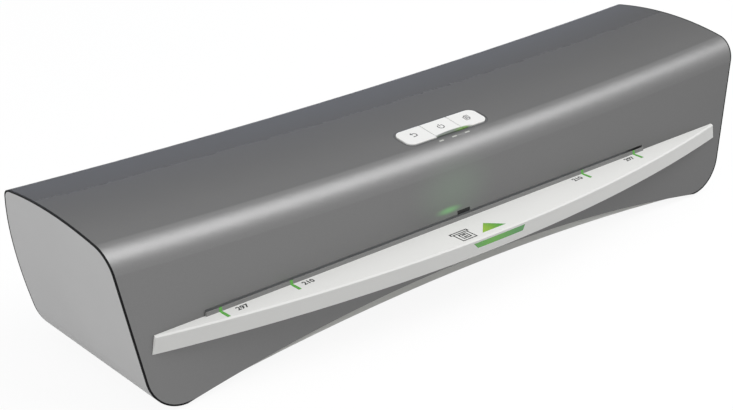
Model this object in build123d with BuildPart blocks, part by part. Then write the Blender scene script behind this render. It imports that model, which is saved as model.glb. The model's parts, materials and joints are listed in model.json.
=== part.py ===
"""Pouch laminator for paper up to A3, in millimetres.

X runs along the length, +Y to the back and +Z up. The origin lies under the middle of the
overall box, on the table that the feet stand on.
"""
import os
from math import cos, radians, sin, sqrt

from build123d import *

os.makedirs("parts", exist_ok=True)

# ---- body -------------------------------------------------------------------------------
tray_reach = 21.1            # tray front to the body's toe
body_depth = 110.3           # front toe to back bulge
body_height = 94.4           # table to the crown at the two ends
edge_height = 1.7            # table to the lowest edge of the cover
foot_half_length = 205.8     # half length of the body where its ends would meet the table
end_flare = 0.20             # outward lean of each end, per mm of height
end_taper = 0.027            # narrowing of each end towards the back, per mm of depth
corner_radius = 22.0         # rounded lower corners, seen from the front
front_lean = 0.08            # backward lean of the front face, per mm of height
crown_sag = 6.0              # how far the crown dips at mid length
crown_drop = 6.1             # crown to front-top corner, before rounding
crown_y_share = 0.556        # place of the crown along the body depth
back_radius = 100.0          # bulge of the back wall
back_bulge_share = 0.498     # height of the bulge, as a share of the body's height
front_top_radius = 14.0
back_top_radius = 9.0
back_corner_drop = 3.7       # crown to back-top corner, before rounding
front_corner_inset = 7.0     # toe to front-top corner, before rounding

# ---- walls and fits ---------------------------------------------------------------------
wall = 2.2                   # cover wall
seal_width = 1.0             # dark seal round the end caps
cap_rim = 0.9                # thickness of the cap's rim, over the end of the cover
seal_tail = 8.0              # length of the seal's tails under the cover's edge
cap_gap = 0.2                # cap's body to the inside of the cover
cap_thickness = 3.0
cap_lip = 1.4                # return lip inside each end cap
cap_reach = 2.9              # depth of the return lip behind the cap's wall
base_gap = 0.3               # cover to base housing
base_wall = 2.4
base_rim_z = 32.0            # top of the base housing's long walls
base_end_z = 9.0             # top of its end walls
cover_arch = 16.4            # rise of the cover's lower edge at mid length
base_arch = 10.8             # rise of the base's lower edge at mid length
arch_half = 188.0            # half span of the cover's arch
base_end_room = 18.4         # foot of the body's end to the end of the base housing
cap_base_gap = 0.6           # base housing to end caps

# ---- paper path -------------------------------------------------------------------------
slot_left = -173.5
slot_right = 140.3
slot_height = 5.6
path_z = 42.9                # height of the paper path
exit_wall = 1.4               # rim of the exit bezel
exit_depth = 5.0
sheet_widths = (297.0, 210.0)   # sizes of sheet that the marks show
mark_width = 2.0
mark_length = 8.0
mark_depth = 3.2

# ---- feed tray --------------------------------------------------------------------------
tray_top_z = 42.7
tray_skin = 2.0              # thickness of the tray's deck
tray_rib = 1.6
tray_edge = 0.8
tray_rib_pitch = 48.0
tray_rib_count = 8
ramp_reach = 1.6             # ramp from the tray's deck down to its lip
ramp_gap = 0.8               # foot of the ramp, in front of the slot
lip_drop = 1.3               # lip below the deck
lip_reach = 5.0              # how far the lip reaches into the body
lip_gap = 0.2                # lip to the bottom and ends of the slot
lamp_size = (11.0, 2.2)
lamp_x = -13.4
lamp_rise = 4.2              # above the feed slot
notch_width = 9.2            # sensor notch in the lip of the slot
notch_height = 2.0
notch_x = -2.8
tray_height = 9.2
tray_tip_x = 203.0           # half length of the tray's top
tray_end_lean = 0.22         # how far the tray's ends spread, per mm downwards
tray_tip_reach = 1.1         # how far the tips stand off the front face
tray_wall = 2.4
tray_cover = 1.6             # thickness of the tray's lower cover
arrow_width = 17.4
arrow_depth = 8.6
arrow_reach = 20.2           # arrow's base, in front of the face
bar_length = 38.0
bar_height = 3.2
bar_depth = 1.6
bar_z = 39.2
inlay_depth = 0.6

# ---- rollers and drive ------------------------------------------------------------------
gear_module = 1.0
roller_teeth = 24
pinion_teeth = 12
gear_gap = 0.12              # extra centre distance of pinion and roller gears
pair_gap = 0.2               # extra centre distance of an upper and a lower gear
gear_width = 8.0
nip_gap = 0.3                # rollers apart when no pouch is in
drive_share = 0.545          # place of the rollers' middle along the body depth
shaft_radius = 3.0
core_radius = 9.0
run_clearance = 0.05         # radial, shafts in bushes
frame_left = -180.0          # mid-planes of the two side frames
frame_right = 148.0
frame_thickness = 1.6
frame_foot_z = 12.0
frame_front = 22.0           # frame plate in front of the hot rollers
frame_back = 20.0            # and behind the pull rollers
frame_foot = 14.0            # width of the foot flange
frame_boss_radius = 4.0
frame_boss_inset = 8.0
screw_radius = 1.4
screw_head_radius = 3.0
screw_head = 2.0
frame_head = 16.0            # frame above the axis of the upper rollers
roller_end_gap = 3.4         # side frame to the rubber sleeve
bush_radius = 5.0
bush_flange_radius = 7.0
bush_flange = 1.5
block_width = 11.6
block_height = 12.0
block_gap = 0.2              # block to its guide slot, each side
roller_lift = 0.8            # travel of the sprung upper rollers
spring_radius = 3.4          # to the outside of the wire
spring_wire = 0.9
spring_turns = 5
bridge_thickness = 1.6
bridge_width = 10.0

shaft_overhang = 2.8         # shaft past the left frame
shaft_proud = 0.6            # and past the gears
gear_hub_radius = 5.5
gear_hub = 1.2
hub_gap = 0.3                # hubs to the bearings
guide_thickness = 1.5
guide_reach = 9.0            # guide's edge, from a roller's axis
guide_nip_height = 2.0       # guides this far apart beside the nip
guide_gap = 0.1
block_flange = 1.8
block_flange_width = 15.6
pin_radius = 2.0
pin_height = 3.0
bridge_overhang = 10.0
bridge_leg = 3.0
bridge_leg_drop = 6.0
motor_radius = 24.0
motor_length = 22.0
motor_gap = 9.0              # gears to the motor bracket
motor_shaft_radius = 2.5
standoff_radius = 3.0

shoe_gap = 1.1               # rubber to heating shoe
shoe_wall = 2.0
shoe_land = 8.0              # width of the flat that the heater lies on
land_rise = 1.0
lower_land_angle = 217.0     # place of the flat on the lower shoe, in degrees
heater_thickness = 1.8

# ---- buttons ----------------------------------------------------------------------------
panel_length = 57.6
panel_depth = 14.5
panel_corner = 4.8
panel_inset = 27.0           # toe to the middle of the row of buttons
button_gap = 0.3
button_rise = 0.7            # cap above the cover
button_height = 4.0
button_travel = 0.6
button_edge = 0.5
flange_gap = 0.4             # well flange below the cover's inside
post_radius = 2.0
stem_gap = 0.3
stem_reach = 0.6             # stem below the well's floor
stem_play = 0.2              # stem to its switch when the button is down
board_width = 16.0
board_corner = 2.0
sensor_depth = 6.0
sensor_height = 7.0
sensor_gap = 0.6
frame_corner = 6.0
bracket_corner = 4.0
block_rest = 0.1             # block above the bottom of its guide slot
spring_end_gap = 0.05
shaft_chamfer = 0.4
tooth_root = 1.25            # depth of a gear's root below its pitch circle, in modules
tooth_shares = (0.114, 0.36)     # tooth half-widths at tip and root, per tooth pitch
well_wall = 1.2
window_size = (3.2, 1.0)
window_pitch = 9.4
window_inset = 16.5          # toe to the row of windows
window_skirt = 20.0          # more than the height of cover above the windows' foot
window_depth = 7.0           # foot of the windows below the crown
control_x = 1.5              # middle of the buttons and windows
well_depth = 6.5
well_floor = 1.2
well_flange = 0.8
stem_radius = 1.5
switch_size = (6.0, 6.0, 3.2)
board_thickness = 1.6

foot_radius = 7.0
foot_height = 2.2
foot_end_inset = 21.4        # foot centre to the end of the base housing
foot_inset = 15.0            # foot centre to the base's front and back edge
foot_pad = 1.5               # rim of the pad over each foot
foot_pad_height = 4.0
foot_chamfer = 0.5
spigot_radius = 2.2
spigot_height = 3.0
screw_length = 7.0
vent_pitch = 18.0
vent_length = 24.0
vent_width = 3.0
vent_gap = 8.0
vent_count = 12

gland_x = -192.0
gland_z = 17.0
gland_bore = 3.3             # radius of the cord's way in
gland_neck = 5.0
gland_flange = 7.5

motor_bore_depth = 8.0
motor_bore_gap = 0.5         # end of the shaft to the end of its bore
motor_boss_radius = 8.0
motor_edge = 2.0
standoff_inset = 7.0
shoe_angle = 22.0            # edges of a shoe above or below its roller's axis, in degrees
spring_room = 5.0
bridge_room = 1.0            # upper shoe to the bridges' legs
heater_length = 280.0
heater_margin = 1.5
thermostat_radius = 6.0
thermostat_height = 3.0
thermostat_ears = 20.4       # across its two ears
thermostat_ear = 0.8         # thickness of the ears
board_standoff = 6.0
board_middle_z = 42.0
power_board_length = 66.0
power_board_height = 40.0
post_inset = 4.0             # posts of the power board to its edges
# across, up, width, height and depth of what stands on the power board
board_blocks = (
    (-20, 6, 14, 18, 9),
    (0, 8, 16, 12, 8),
    (18, 4, 12, 20, 9),
    (-6, -12, 22, 9, 7),
    (18, -13, 9, 9, 8),
)
gland_proud = 2.0
gland_length = 12.0

# ---- derived places ---------------------------------------------------------------------
overall_depth = body_depth + tray_reach
back_y = overall_depth / 2
tray_front_y = -overall_depth / 2
toe_y = back_y - body_depth
back_bulge_z = body_height * back_bulge_share
back_corner_z = body_height - back_corner_drop
crown_front = body_depth * crown_y_share - front_corner_inset    # crown to front-top corner
crown_y = toe_y + body_depth * crown_y_share
end_station = foot_half_length + end_flare * body_height
base_half = foot_half_length - base_end_room
foot_x = base_half - foot_end_inset
far = 260.0                  # beyond the body on every side
cut = 30.0                   # more than any wall is thick
FOOT = (Align.CENTER, Align.CENTER, Align.MIN)

inner = wall
cap_inner = wall + cap_gap
base_outer = wall + base_gap
base_inner = base_outer + base_wall

slot_bottom_z = path_z - slot_height / 2
slot_top_z = path_z + slot_height / 2

gear_pitch = gear_module * roller_teeth / 2
pinion_pitch = gear_module * pinion_teeth / 2
pair_distance = 2 * gear_pitch + pair_gap
sleeve_radius = (pair_distance - nip_gap) / 2
lower_z = path_z - pair_distance / 2
upper_z = path_z + pair_distance / 2
mesh_angle = radians(360 / roller_teeth)      # pinion stands one tooth pitch above the gears
drive_distance = gear_pitch + pinion_pitch + gear_gap
pinion_y = toe_y + body_depth * drive_share
hot_y = pinion_y - drive_distance * cos(mesh_angle)
pull_y = pinion_y + drive_distance * cos(mesh_angle)
pinion_z = lower_z + drive_distance * sin(mesh_angle)
frame_top_z = upper_z + frame_head
panel_y = toe_y + panel_inset
window_y = toe_y + window_inset
roller_places = {"hot": hot_y, "pull": pull_y}

left_face = frame_left + frame_thickness / 2      # inner faces of the frames
right_face = frame_right - frame_thickness / 2
right_outside = frame_right + frame_thickness / 2
left_outside = frame_left - frame_thickness / 2
sleeve_left = left_face + roller_end_gap
sleeve_right = right_face - roller_end_gap
block_reach = block_gap + block_flange           # block past the face of its frame
block_length = frame_thickness + 2 * block_reach
gear_start = right_outside + max(bush_flange, block_reach) + gear_hub + hub_gap
gear_end = gear_start + gear_width
bracket_x = gear_end + motor_gap
slot_centre = (slot_left + slot_right) / 2


def front_at(z):
    """Y of the front face at height z."""
    return toe_y + front_lean * z


def back_at(z):
    """Y of the bulged back wall at height z."""
    return back_y - back_radius + sqrt(back_radius**2 - (z - back_bulge_z) ** 2)


def sag_at(x):
    """How far the crown has dipped at x."""
    return crown_sag * (1 - (x / end_station) ** 2)


def crown_at(x, y):
    """Height of the crown at x, y."""
    return body_height - sag_at(x) - crown_drop * ((y - crown_y) / crown_front) ** 2


def tube_section(x, inset):
    """Section across the body at x: open downwards, the other sides moved in by inset."""
    low = -cut / 2
    dip = sag_at(x)
    front_top = (front_at(body_height - crown_drop - dip), body_height - crown_drop - dip)
    back_top = (back_at(back_corner_z - dip), back_corner_z - dip)
    with BuildSketch(Plane.YZ.offset(x)) as section:
        with BuildLine():
            Polyline((back_at(low), low), (front_at(low), low), front_top)
            ThreePointArc(front_top, (crown_y, body_height - dip), back_top)
            ThreePointArc(back_top, (back_at(back_bulge_z), back_bulge_z), (back_at(low), low))
        make_face()
        fillet(section.vertices().sort_by_distance(back_top)[0], back_top_radius)
        fillet(section.vertices().sort_by_distance(front_top)[0], front_top_radius)
        if inset:
            offset(amount=-inset, kind=Kind.INTERSECTION)
    return section.sketch


def tube(inset):
    """The body as an endless dipped tube, its top, front and back moved in by inset."""
    with BuildPart() as body:
        loft([tube_section(x, inset) for x in (-far, 0, far)])
    return body.part


def end_outline(y, inset):
    """Front outline of the body in the plane at y, moved in by inset."""
    half = foot_half_length - end_taper * (y - toe_y)
    top = body_height + cut
    with BuildSketch(Plane.XZ.offset(-y)) as outline:
        with BuildLine():
            Polyline(
                (-half - end_flare * edge_height, edge_height),
                (half + end_flare * edge_height, edge_height),
                (half + end_flare * top, top),
                (-half - end_flare * top, top),
                close=True,
            )
        make_face()
        fillet(outline.vertices().group_by(Axis.Y)[0], corner_radius)
        if inset:
            offset(amount=-inset, kind=Kind.INTERSECTION)
    return outline.sketch


def ends(inset):
    """A block between the two flared ends, rounded at the lower corners."""
    with BuildPart() as block:
        loft([end_outline(y, inset) for y in (toe_y - cut, back_y + cut)], ruled=True)
    return block.part


def under_arch(rise, half_span, foot_z):
    """All that lies below an arch seen from the front."""
    with BuildPart() as below:
        with BuildSketch(Plane.XZ):
            with BuildLine():
                ThreePointArc((-half_span, foot_z), (0, foot_z + rise), (half_span, foot_z))
                Polyline((half_span, foot_z), (half_span, -cut), (-half_span, -cut), (-half_span, foot_z))
            make_face()
        extrude(amount=far / 2, both=True)
    return below.part


def save(piece, node):
    """Labels a finished piece and writes its STEP file."""
    piece.part.label = node
    export_step(piece.part, f"parts/{node}.step")


outer_tube = tube(0)
inner_tube = tube(inner)
rim_tube = tube(seal_width)
cap_tube = tube(cap_inner)
base_tube = tube(base_outer)
hollow_tube = tube(base_inner)
outer_ends = ends(0)
cover_ends = ends(cap_rim)
cover_underside = under_arch(cover_arch, arch_half, edge_height)

# ---- cover: front, top and back in one moulding -------------------------------------------
window_foot_z = crown_at(control_x, window_y) - window_depth
window_places = [(control_x + window_pitch * i, window_y, window_foot_z) for i in (-1, 0, 1)]
panel_z = crown_at(control_x, panel_y)
panel_tilt = 2 * crown_drop * (crown_y - panel_y) / crown_front**2
panel_normal = Vector(0, -panel_tilt, 1).normalized()
panel_plane = Plane((control_x, panel_y, panel_z), x_dir=(1, 0, 0), z_dir=panel_normal)


def panel_shape(grow, depth=0.0):
    """Rounded strip that holds the three buttons, grown by a clearance, at a depth below the cover."""
    with BuildSketch(panel_plane.offset(-depth)) as strip:
        RectangleRounded(panel_length + 2 * grow, panel_depth + 2 * grow, panel_corner + grow)
    return strip.sketch


with BuildPart() as top_cover:
    add(outer_tube)
    add(cover_ends, mode=Mode.INTERSECT)
    add(inner_tube, mode=Mode.SUBTRACT)
    add(cover_underside, mode=Mode.SUBTRACT)
    # feed slot through the front wall and the notch for the sheet sensor in its lip
    with Locations((slot_centre, toe_y, path_z)):
        Box(slot_right - slot_left, cut, slot_height, mode=Mode.SUBTRACT)
    with Locations((notch_x, toe_y, slot_top_z)):
        Box(notch_width, cut, 2 * notch_height, mode=Mode.SUBTRACT)
    # lamp window above the slot
    with BuildSketch(Plane.XZ.offset(-toe_y)):
        with Locations((lamp_x, slot_top_z + lamp_rise)):
            SlotOverall(*lamp_size)
    extrude(amount=cut / 2, both=True, mode=Mode.SUBTRACT)
    # exit slot through the back wall, with room for its bezel
    with Locations((slot_centre, back_y, path_z)):
        Box(
            slot_right - slot_left + 2 * exit_wall, cut, slot_height + 2 * exit_wall,
            mode=Mode.SUBTRACT,
        )
    # well for the buttons
    extrude(panel_shape(button_gap + well_wall), amount=cut / 2, both=True, mode=Mode.SUBTRACT)
    # indicator windows
    with Locations(*window_places):
        Box(*window_size, window_skirt, align=FOOT, mode=Mode.SUBTRACT)
    # cord gland's hole
    with BuildSketch(Plane.XZ.offset(-back_y)):
        with Locations((gland_x, gland_z)):
            Circle(gland_neck)
    extrude(amount=cut, both=True, mode=Mode.SUBTRACT)
save(top_cover, "top_cover")

# ---- end caps and their seals --------------------------------------------------------------
cap_start = base_half + cap_base_gap
cap_inside = ends(cap_thickness)
lip_tube = tube(cap_inner + cap_lip)
lip_inside = ends(cap_thickness + cap_reach)


def end_block(sign, start):
    """All that lies beyond start on one side."""
    with BuildPart() as block:
        with Locations((sign * (start + far / 2), 0, 0)):
            Box(far, far, far)
    return block.part


for side, sign in (("left", -1), ("right", 1)):
    with BuildPart() as cap_rim_plate:
        add(rim_tube)
        add(outer_ends, mode=Mode.INTERSECT)
        add(cover_ends, mode=Mode.SUBTRACT)
        add(end_block(sign, cap_start), mode=Mode.INTERSECT)
    with BuildPart() as cap_wall:
        add(cap_tube)
        add(cover_ends, mode=Mode.INTERSECT)
        add(cap_inside, mode=Mode.SUBTRACT)
        add(end_block(sign, cap_start), mode=Mode.INTERSECT)
    with BuildPart() as cap_lip_ring:
        add(cap_tube)
        add(cap_inside, mode=Mode.INTERSECT)
        add(lip_inside, mode=Mode.SUBTRACT)
        add(lip_tube, mode=Mode.SUBTRACT)
        add(end_block(sign, cap_start), mode=Mode.INTERSECT)
    with BuildPart() as cap:
        add(cap_rim_plate.part)
        add(cap_wall.part)
        add(cap_lip_ring.part)
    save(cap, f"end_cap_{side}")

    with BuildPart() as end_seal:
        add(outer_tube)
        add(outer_ends, mode=Mode.INTERSECT)
        add(cover_ends, mode=Mode.SUBTRACT)
        add(rim_tube, mode=Mode.SUBTRACT)
        add(cover_underside, mode=Mode.SUBTRACT)
        add(end_block(sign, arch_half - seal_tail), mode=Mode.INTERSECT)
    save(end_seal, f"end_seal_{side}")

# ---- base housing --------------------------------------------------------------------------
base_front = front_at(edge_height) + base_outer
base_back = back_at(edge_height) - base_outer
foot_ys = (base_front + foot_inset, base_back - foot_inset)
foot_places = [(x, y) for x in (-foot_x, foot_x) for y in foot_ys]
boss_xs = (left_face + frame_boss_inset, right_face - frame_boss_inset)
boss_ys = (hot_y - frame_front + frame_boss_inset, pull_y + frame_back - frame_boss_inset)
boss_places = [(x, y) for x in boss_xs for y in boss_ys]

with BuildPart() as base_cavity:
    add(hollow_tube)
    with Locations((0, 0, far / 2 + edge_height)):
        Box(2 * (base_half - base_wall), far, far, mode=Mode.INTERSECT)
    add(under_arch(base_arch, arch_half, edge_height + base_wall), mode=Mode.SUBTRACT)
    with Locations((0, 0, edge_height)):
        Box(far * 2, far, 2 * base_wall, mode=Mode.SUBTRACT)
    with BuildSketch(Plane.XY):
        with Locations(*boss_places):
            Circle(frame_boss_radius)
    extrude(amount=frame_foot_z, mode=Mode.SUBTRACT)

with BuildPart() as base_housing:
    add(base_tube)
    with Locations((0, 0, (edge_height + base_rim_z) / 2)):
        Box(2 * base_half, far, base_rim_z - edge_height, mode=Mode.INTERSECT)
    add(under_arch(base_arch, arch_half, edge_height), mode=Mode.SUBTRACT)
    with BuildSketch(Plane.XY.offset(foot_height)):
        with Locations(*foot_places):
            Circle(foot_radius + foot_pad)
    extrude(amount=foot_pad_height)
    add(base_cavity.part, mode=Mode.SUBTRACT)
    for sign in (-1, 1):
        with Locations((sign * base_half, 0, base_end_z + far / 2)):
            Box(4 * base_wall, far, far, mode=Mode.SUBTRACT)
    # spigot holes of the feet and screw holes of the frames
    with BuildSketch(Plane.XY):
        with Locations(*foot_places):
            Circle(spigot_radius)
    extrude(amount=foot_height + spigot_height, mode=Mode.SUBTRACT)
    with BuildSketch(Plane.XY.offset(frame_foot_z)):
        with Locations(*boss_places):
            Circle(screw_radius)
    extrude(amount=-screw_length, mode=Mode.SUBTRACT)
    # air vents under the rollers
    with BuildSketch(Plane.XY):
        with Locations((slot_centre, pinion_y)):
            with GridLocations(vent_pitch, vent_length + vent_gap, vent_count, 2):
                SlotOverall(vent_length, vent_width, rotation=90)
    extrude(amount=base_rim_z, mode=Mode.SUBTRACT)
save(base_housing, "base_housing")

with BuildPart() as feet:
    with BuildSketch(Plane.XY):
        with Locations(*foot_places):
            Circle(foot_radius)
    extrude(amount=foot_height)
    chamfer(feet.edges().group_by(Axis.Z)[0], foot_chamfer)
    with BuildSketch(Plane.XY.offset(foot_height)):
        with Locations(*foot_places):
            Circle(spigot_radius)
    extrude(amount=spigot_height)
save(feet, "rubber_feet")

# ---- feed tray -----------------------------------------------------------------------------
tray_bottom_z = tray_top_z - tray_height
tray_spread = tray_tip_x + tray_end_lean * tray_height
tray_tip_y = front_at(tray_top_z) - tray_tip_reach


def crescent(inset, bottom_z, top_z):
    """The tray's plan, a flat bow in front of the body, as a block between two heights."""
    with BuildPart() as bow:
        with BuildSketch(Plane.XY.offset(bottom_z)):
            with BuildLine():
                ThreePointArc((-tray_spread, tray_tip_y), (0, tray_front_y), (tray_spread, tray_tip_y))
                Polyline(
                    (tray_spread, tray_tip_y), (tray_spread, toe_y + cut),
                    (-tray_spread, toe_y + cut), (-tray_spread, tray_tip_y),
                )
            make_face()
            if inset:
                offset(amount=-inset, kind=Kind.INTERSECTION)
        extrude(amount=top_z - bottom_z)
        with BuildSketch(Plane.XZ):
            with BuildLine():
                Polyline(
                    (-tray_tip_x + inset, tray_top_z), (tray_tip_x - inset, tray_top_z),
                    (tray_spread - inset, tray_bottom_z), (-tray_spread + inset, tray_bottom_z),
                    close=True,
                )
            make_face()
        extrude(amount=far, both=True, mode=Mode.INTERSECT)
    return bow.part


mark_xs = [slot_centre + sign * width / 2 for width in sheet_widths for sign in (-1, 1)]
mark_y = front_at(tray_top_z) - mark_length / 2
tray_mouth_y = front_at(slot_bottom_z)
ramp_foot_y = tray_mouth_y - ramp_gap
ramp_top_y = ramp_foot_y - ramp_reach
lip_top_z = tray_top_z - lip_drop
lip_bottom_z = slot_bottom_z + lip_gap


with BuildPart() as arrow:
    with BuildSketch(Plane.XY.offset(tray_top_z)):
        with BuildLine():
            base_y = front_at(tray_top_z) - arrow_reach
            Polyline(
                (-arrow_width / 2, base_y), (arrow_width / 2, base_y), (0, base_y + arrow_depth),
                close=True,
            )
        make_face()
    extrude(amount=-inlay_depth)
save(arrow, "tray_arrow")

with BuildPart() as light_bar:
    add(crescent(0, tray_bottom_z, tray_top_z))
    add(crescent(bar_depth, tray_bottom_z, tray_top_z), mode=Mode.SUBTRACT)
    with BuildSketch(Plane.XZ.offset(-toe_y)):
        with BuildLine():
            Polyline(
                (-bar_length / 2 + bar_height, bar_z - bar_height / 2),
                (bar_length / 2 - bar_height / 2, bar_z - bar_height / 2),
                (bar_length / 2, bar_z + bar_height / 2),
                (-bar_length / 2, bar_z + bar_height / 2),
                close=True,
            )
        make_face()
    extrude(amount=far, mode=Mode.INTERSECT)
save(light_bar, "light_bar")

with BuildPart() as tray_cavity:
    add(crescent(tray_wall, tray_bottom_z + tray_cover, tray_top_z - tray_skin))
    with Locations((0, ramp_top_y - tray_wall - far / 2, tray_bottom_z)):
        Box(2 * far, far, far, mode=Mode.INTERSECT)
    with Locations((0, tray_front_y, tray_bottom_z)):
        with GridLocations(tray_rib_pitch, 1, tray_rib_count, 1):
            Box(tray_rib, far, far, mode=Mode.SUBTRACT)

with BuildPart() as tray_floor:
    add(crescent(tray_wall, tray_bottom_z, tray_bottom_z + tray_cover))
    add(outer_tube, mode=Mode.SUBTRACT)
save(tray_floor, "tray_floor")

with BuildPart() as tray_body:
    add(crescent(0, tray_bottom_z, tray_top_z))
    chamfer(tray_body.edges().filter_by(GeomType.CIRCLE).sort_by(Axis.Z)[-1], tray_edge)
    add(outer_tube, mode=Mode.SUBTRACT)
    # hollow underside with stiffening ribs, closed by the tray's floor
    add(tray_cavity.part, mode=Mode.SUBTRACT)
    add(tray_floor.part, mode=Mode.SUBTRACT)
    # lip that carries the pouch through the slot, and the ramp down to it
    with BuildSketch(Plane.XY.offset(lip_bottom_z)):
        with Locations((slot_centre, ramp_foot_y)):
            Rectangle(
                slot_right - slot_left - 2 * lip_gap, ramp_gap + lip_reach,
                align=(Align.CENTER, Align.MIN),
            )
    extrude(amount=lip_top_z - lip_bottom_z)
    with BuildSketch(Plane.YZ.offset(slot_left)):
        with BuildLine():
            Polyline(
                (tray_mouth_y + wall, lip_top_z), (ramp_foot_y, lip_top_z),
                (ramp_top_y, tray_top_z), (ramp_top_y, tray_top_z + slot_height),
                (tray_mouth_y + wall, tray_top_z + slot_height), close=True,
            )
        make_face()
    extrude(amount=slot_right - slot_left, mode=Mode.SUBTRACT)

with BuildPart() as marks:
    with Locations(*[(x, mark_y, tray_top_z - mark_depth / 2) for x in mark_xs]):
        Box(mark_width, mark_length, mark_depth)
    add(tray_body.part, mode=Mode.INTERSECT)
save(marks, "sheet_marks")

with BuildPart() as feed_tray:
    add(tray_body.part)
    for inlay in (marks, arrow, light_bar):
        add(inlay.part, mode=Mode.SUBTRACT)
save(feed_tray, "feed_tray")

# ---- buttons, lamps and the control board ----------------------------------------------------
button_places = (("reverse", -1), ("power", 0), ("thickness", 1))
button_pitch = panel_length / 3
board_depth = well_depth + switch_size[2]         # top of the control board below the cover
stem_tip = well_depth + stem_reach
switch_drop = stem_reach + button_travel + stem_play    # switch's top below the well's floor

with BuildPart() as button_well:
    extrude(panel_shape(button_gap + well_wall), amount=-well_depth)
    extrude(panel_shape(button_gap + well_wall + well_flange, wall + flange_gap), amount=-well_floor)
    extrude(panel_shape(button_gap), amount=-(well_depth - well_floor), mode=Mode.SUBTRACT)
    # posts for the control board
    with BuildSketch(panel_plane.offset(-well_depth)):
        with GridLocations(3 * button_pitch - 3 * post_radius, 1, 2, 1):
            Circle(post_radius)
    extrude(amount=-switch_size[2])
    # holes for the stems of the buttons
    with BuildSketch(panel_plane):
        with GridLocations(button_pitch, 1, 3, 1):
            Circle(stem_radius + stem_gap)
    extrude(amount=-well_depth, mode=Mode.SUBTRACT)
save(button_well, "button_well")

for name, place in button_places:
    with BuildPart() as button:
        extrude(panel_shape(0, button_height - button_rise), amount=button_height)
        with BuildSketch(panel_plane.offset(-button_height)):
            with Locations((place * button_pitch, 0)):
                Rectangle(button_pitch - button_gap, 2 * panel_depth)
        extrude(amount=2 * button_height, mode=Mode.INTERSECT)
        top = button.faces().sort_by(Axis(panel_plane.origin, panel_plane.z_dir))[-1]
        fillet(top.edges(), button_edge)
        with BuildSketch(panel_plane.offset(button_rise - button_height)):
            with Locations((place * button_pitch, 0)):
                Circle(stem_radius)
        extrude(amount=-(stem_tip + button_rise - button_height))
    save(button, f"button_{name}")

with BuildPart() as control_board:
    with BuildSketch(panel_plane.offset(-board_depth)):
        RectangleRounded(panel_length + 2 * well_wall, board_width, board_corner)
    extrude(amount=-board_thickness)
save(control_board, "control_board")

with BuildPart() as switches:
    with BuildSketch(panel_plane.offset(-board_depth)):
        with GridLocations(button_pitch, 1, 3, 1):
            Rectangle(switch_size[0], switch_size[1])
    extrude(amount=switch_size[2] - switch_drop)
save(switches, "button_switches")

with BuildPart() as indicator:
    with Locations(*window_places):
        Box(*window_size, window_skirt, align=FOOT)
    add(outer_tube, mode=Mode.INTERSECT)
    with Locations((control_x, window_y, window_foot_z)):
        Box(
            2 * (window_pitch + window_size[0]), 3 * window_size[1], window_size[1],
            align=(Align.CENTER, Align.CENTER, Align.MAX),
        )
save(indicator, "indicator_lights")

with BuildPart() as lamp:
    with BuildSketch(Plane.XZ.offset(-toe_y)):
        with Locations((lamp_x, slot_top_z + lamp_rise)):
            SlotOverall(*lamp_size)
    extrude(amount=20, both=True)
    add(outer_tube, mode=Mode.INTERSECT)
    add(inner_tube, mode=Mode.SUBTRACT)
save(lamp, "ready_lamp")

# ---- side frames, the bridges over them and the paper guides ---------------------------------
frame_start_y = hot_y - frame_front
frame_end_y = pull_y + frame_back
frame_sides = {"left": (frame_left, 1), "right": (frame_right, -1)}
guide_slot = block_width + 2 * block_gap
bridge_leg_ys = (
    hot_y - bridge_overhang + bridge_leg / 2,
    pull_y + bridge_overhang - bridge_leg / 2,
)

for side, (middle_x, inward) in frame_sides.items():
    with BuildPart() as frame:
        with BuildSketch(Plane.YZ.offset(middle_x - frame_thickness / 2)) as plate:
            with BuildLine():
                Polyline(
                    (frame_start_y, frame_foot_z), (frame_end_y, frame_foot_z),
                    (frame_end_y, upper_z), (pull_y + bridge_overhang, frame_top_z),
                    (hot_y - bridge_overhang, frame_top_z), (frame_start_y, upper_z),
                    close=True,
                )
            make_face()
            fillet(plate.vertices().group_by(Axis.Y)[1], frame_corner)
            for roller_y in roller_places.values():
                with Locations((roller_y, lower_z)):
                    Circle(bush_radius, mode=Mode.SUBTRACT)
                with Locations((roller_y, upper_z - block_height / 2 - block_rest)):
                    Rectangle(guide_slot, frame_top_z, align=(Align.CENTER, Align.MIN), mode=Mode.SUBTRACT)
        extrude(amount=frame_thickness)
        # foot flange with its screw holes
        with BuildSketch(Plane.XY.offset(frame_foot_z)):
            flange_x = middle_x + inward * (frame_foot - frame_thickness) / 2
            with Locations((flange_x, frame_start_y)):
                Rectangle(frame_foot, frame_end_y - frame_start_y, align=(Align.CENTER, Align.MIN))
        extrude(amount=frame_thickness)
        with BuildSketch(Plane.XY.offset(frame_foot_z)):
            with Locations(*boss_places):
                Circle(screw_radius)
        extrude(amount=frame_thickness, mode=Mode.SUBTRACT)
    save(frame, f"side_frame_{side}")

    with BuildPart() as bridge:
        with BuildSketch(Plane.XY.offset(frame_top_z)):
            with Locations((middle_x, pinion_y)):
                Rectangle(bridge_width, pull_y - hot_y + 2 * bridge_overhang)
        extrude(amount=bridge_thickness)
        # legs astride the plate
        for leg_y in bridge_leg_ys:
            for leg_side in (-1, 1):
                leg_x = middle_x + leg_side * (frame_thickness / 2 + bridge_thickness / 2)
                with Locations((leg_x, leg_y, frame_top_z - bridge_leg_drop / 2)):
                    Box(bridge_thickness, bridge_leg, bridge_leg_drop)
    save(bridge, f"spring_bridge_{side}")

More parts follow.
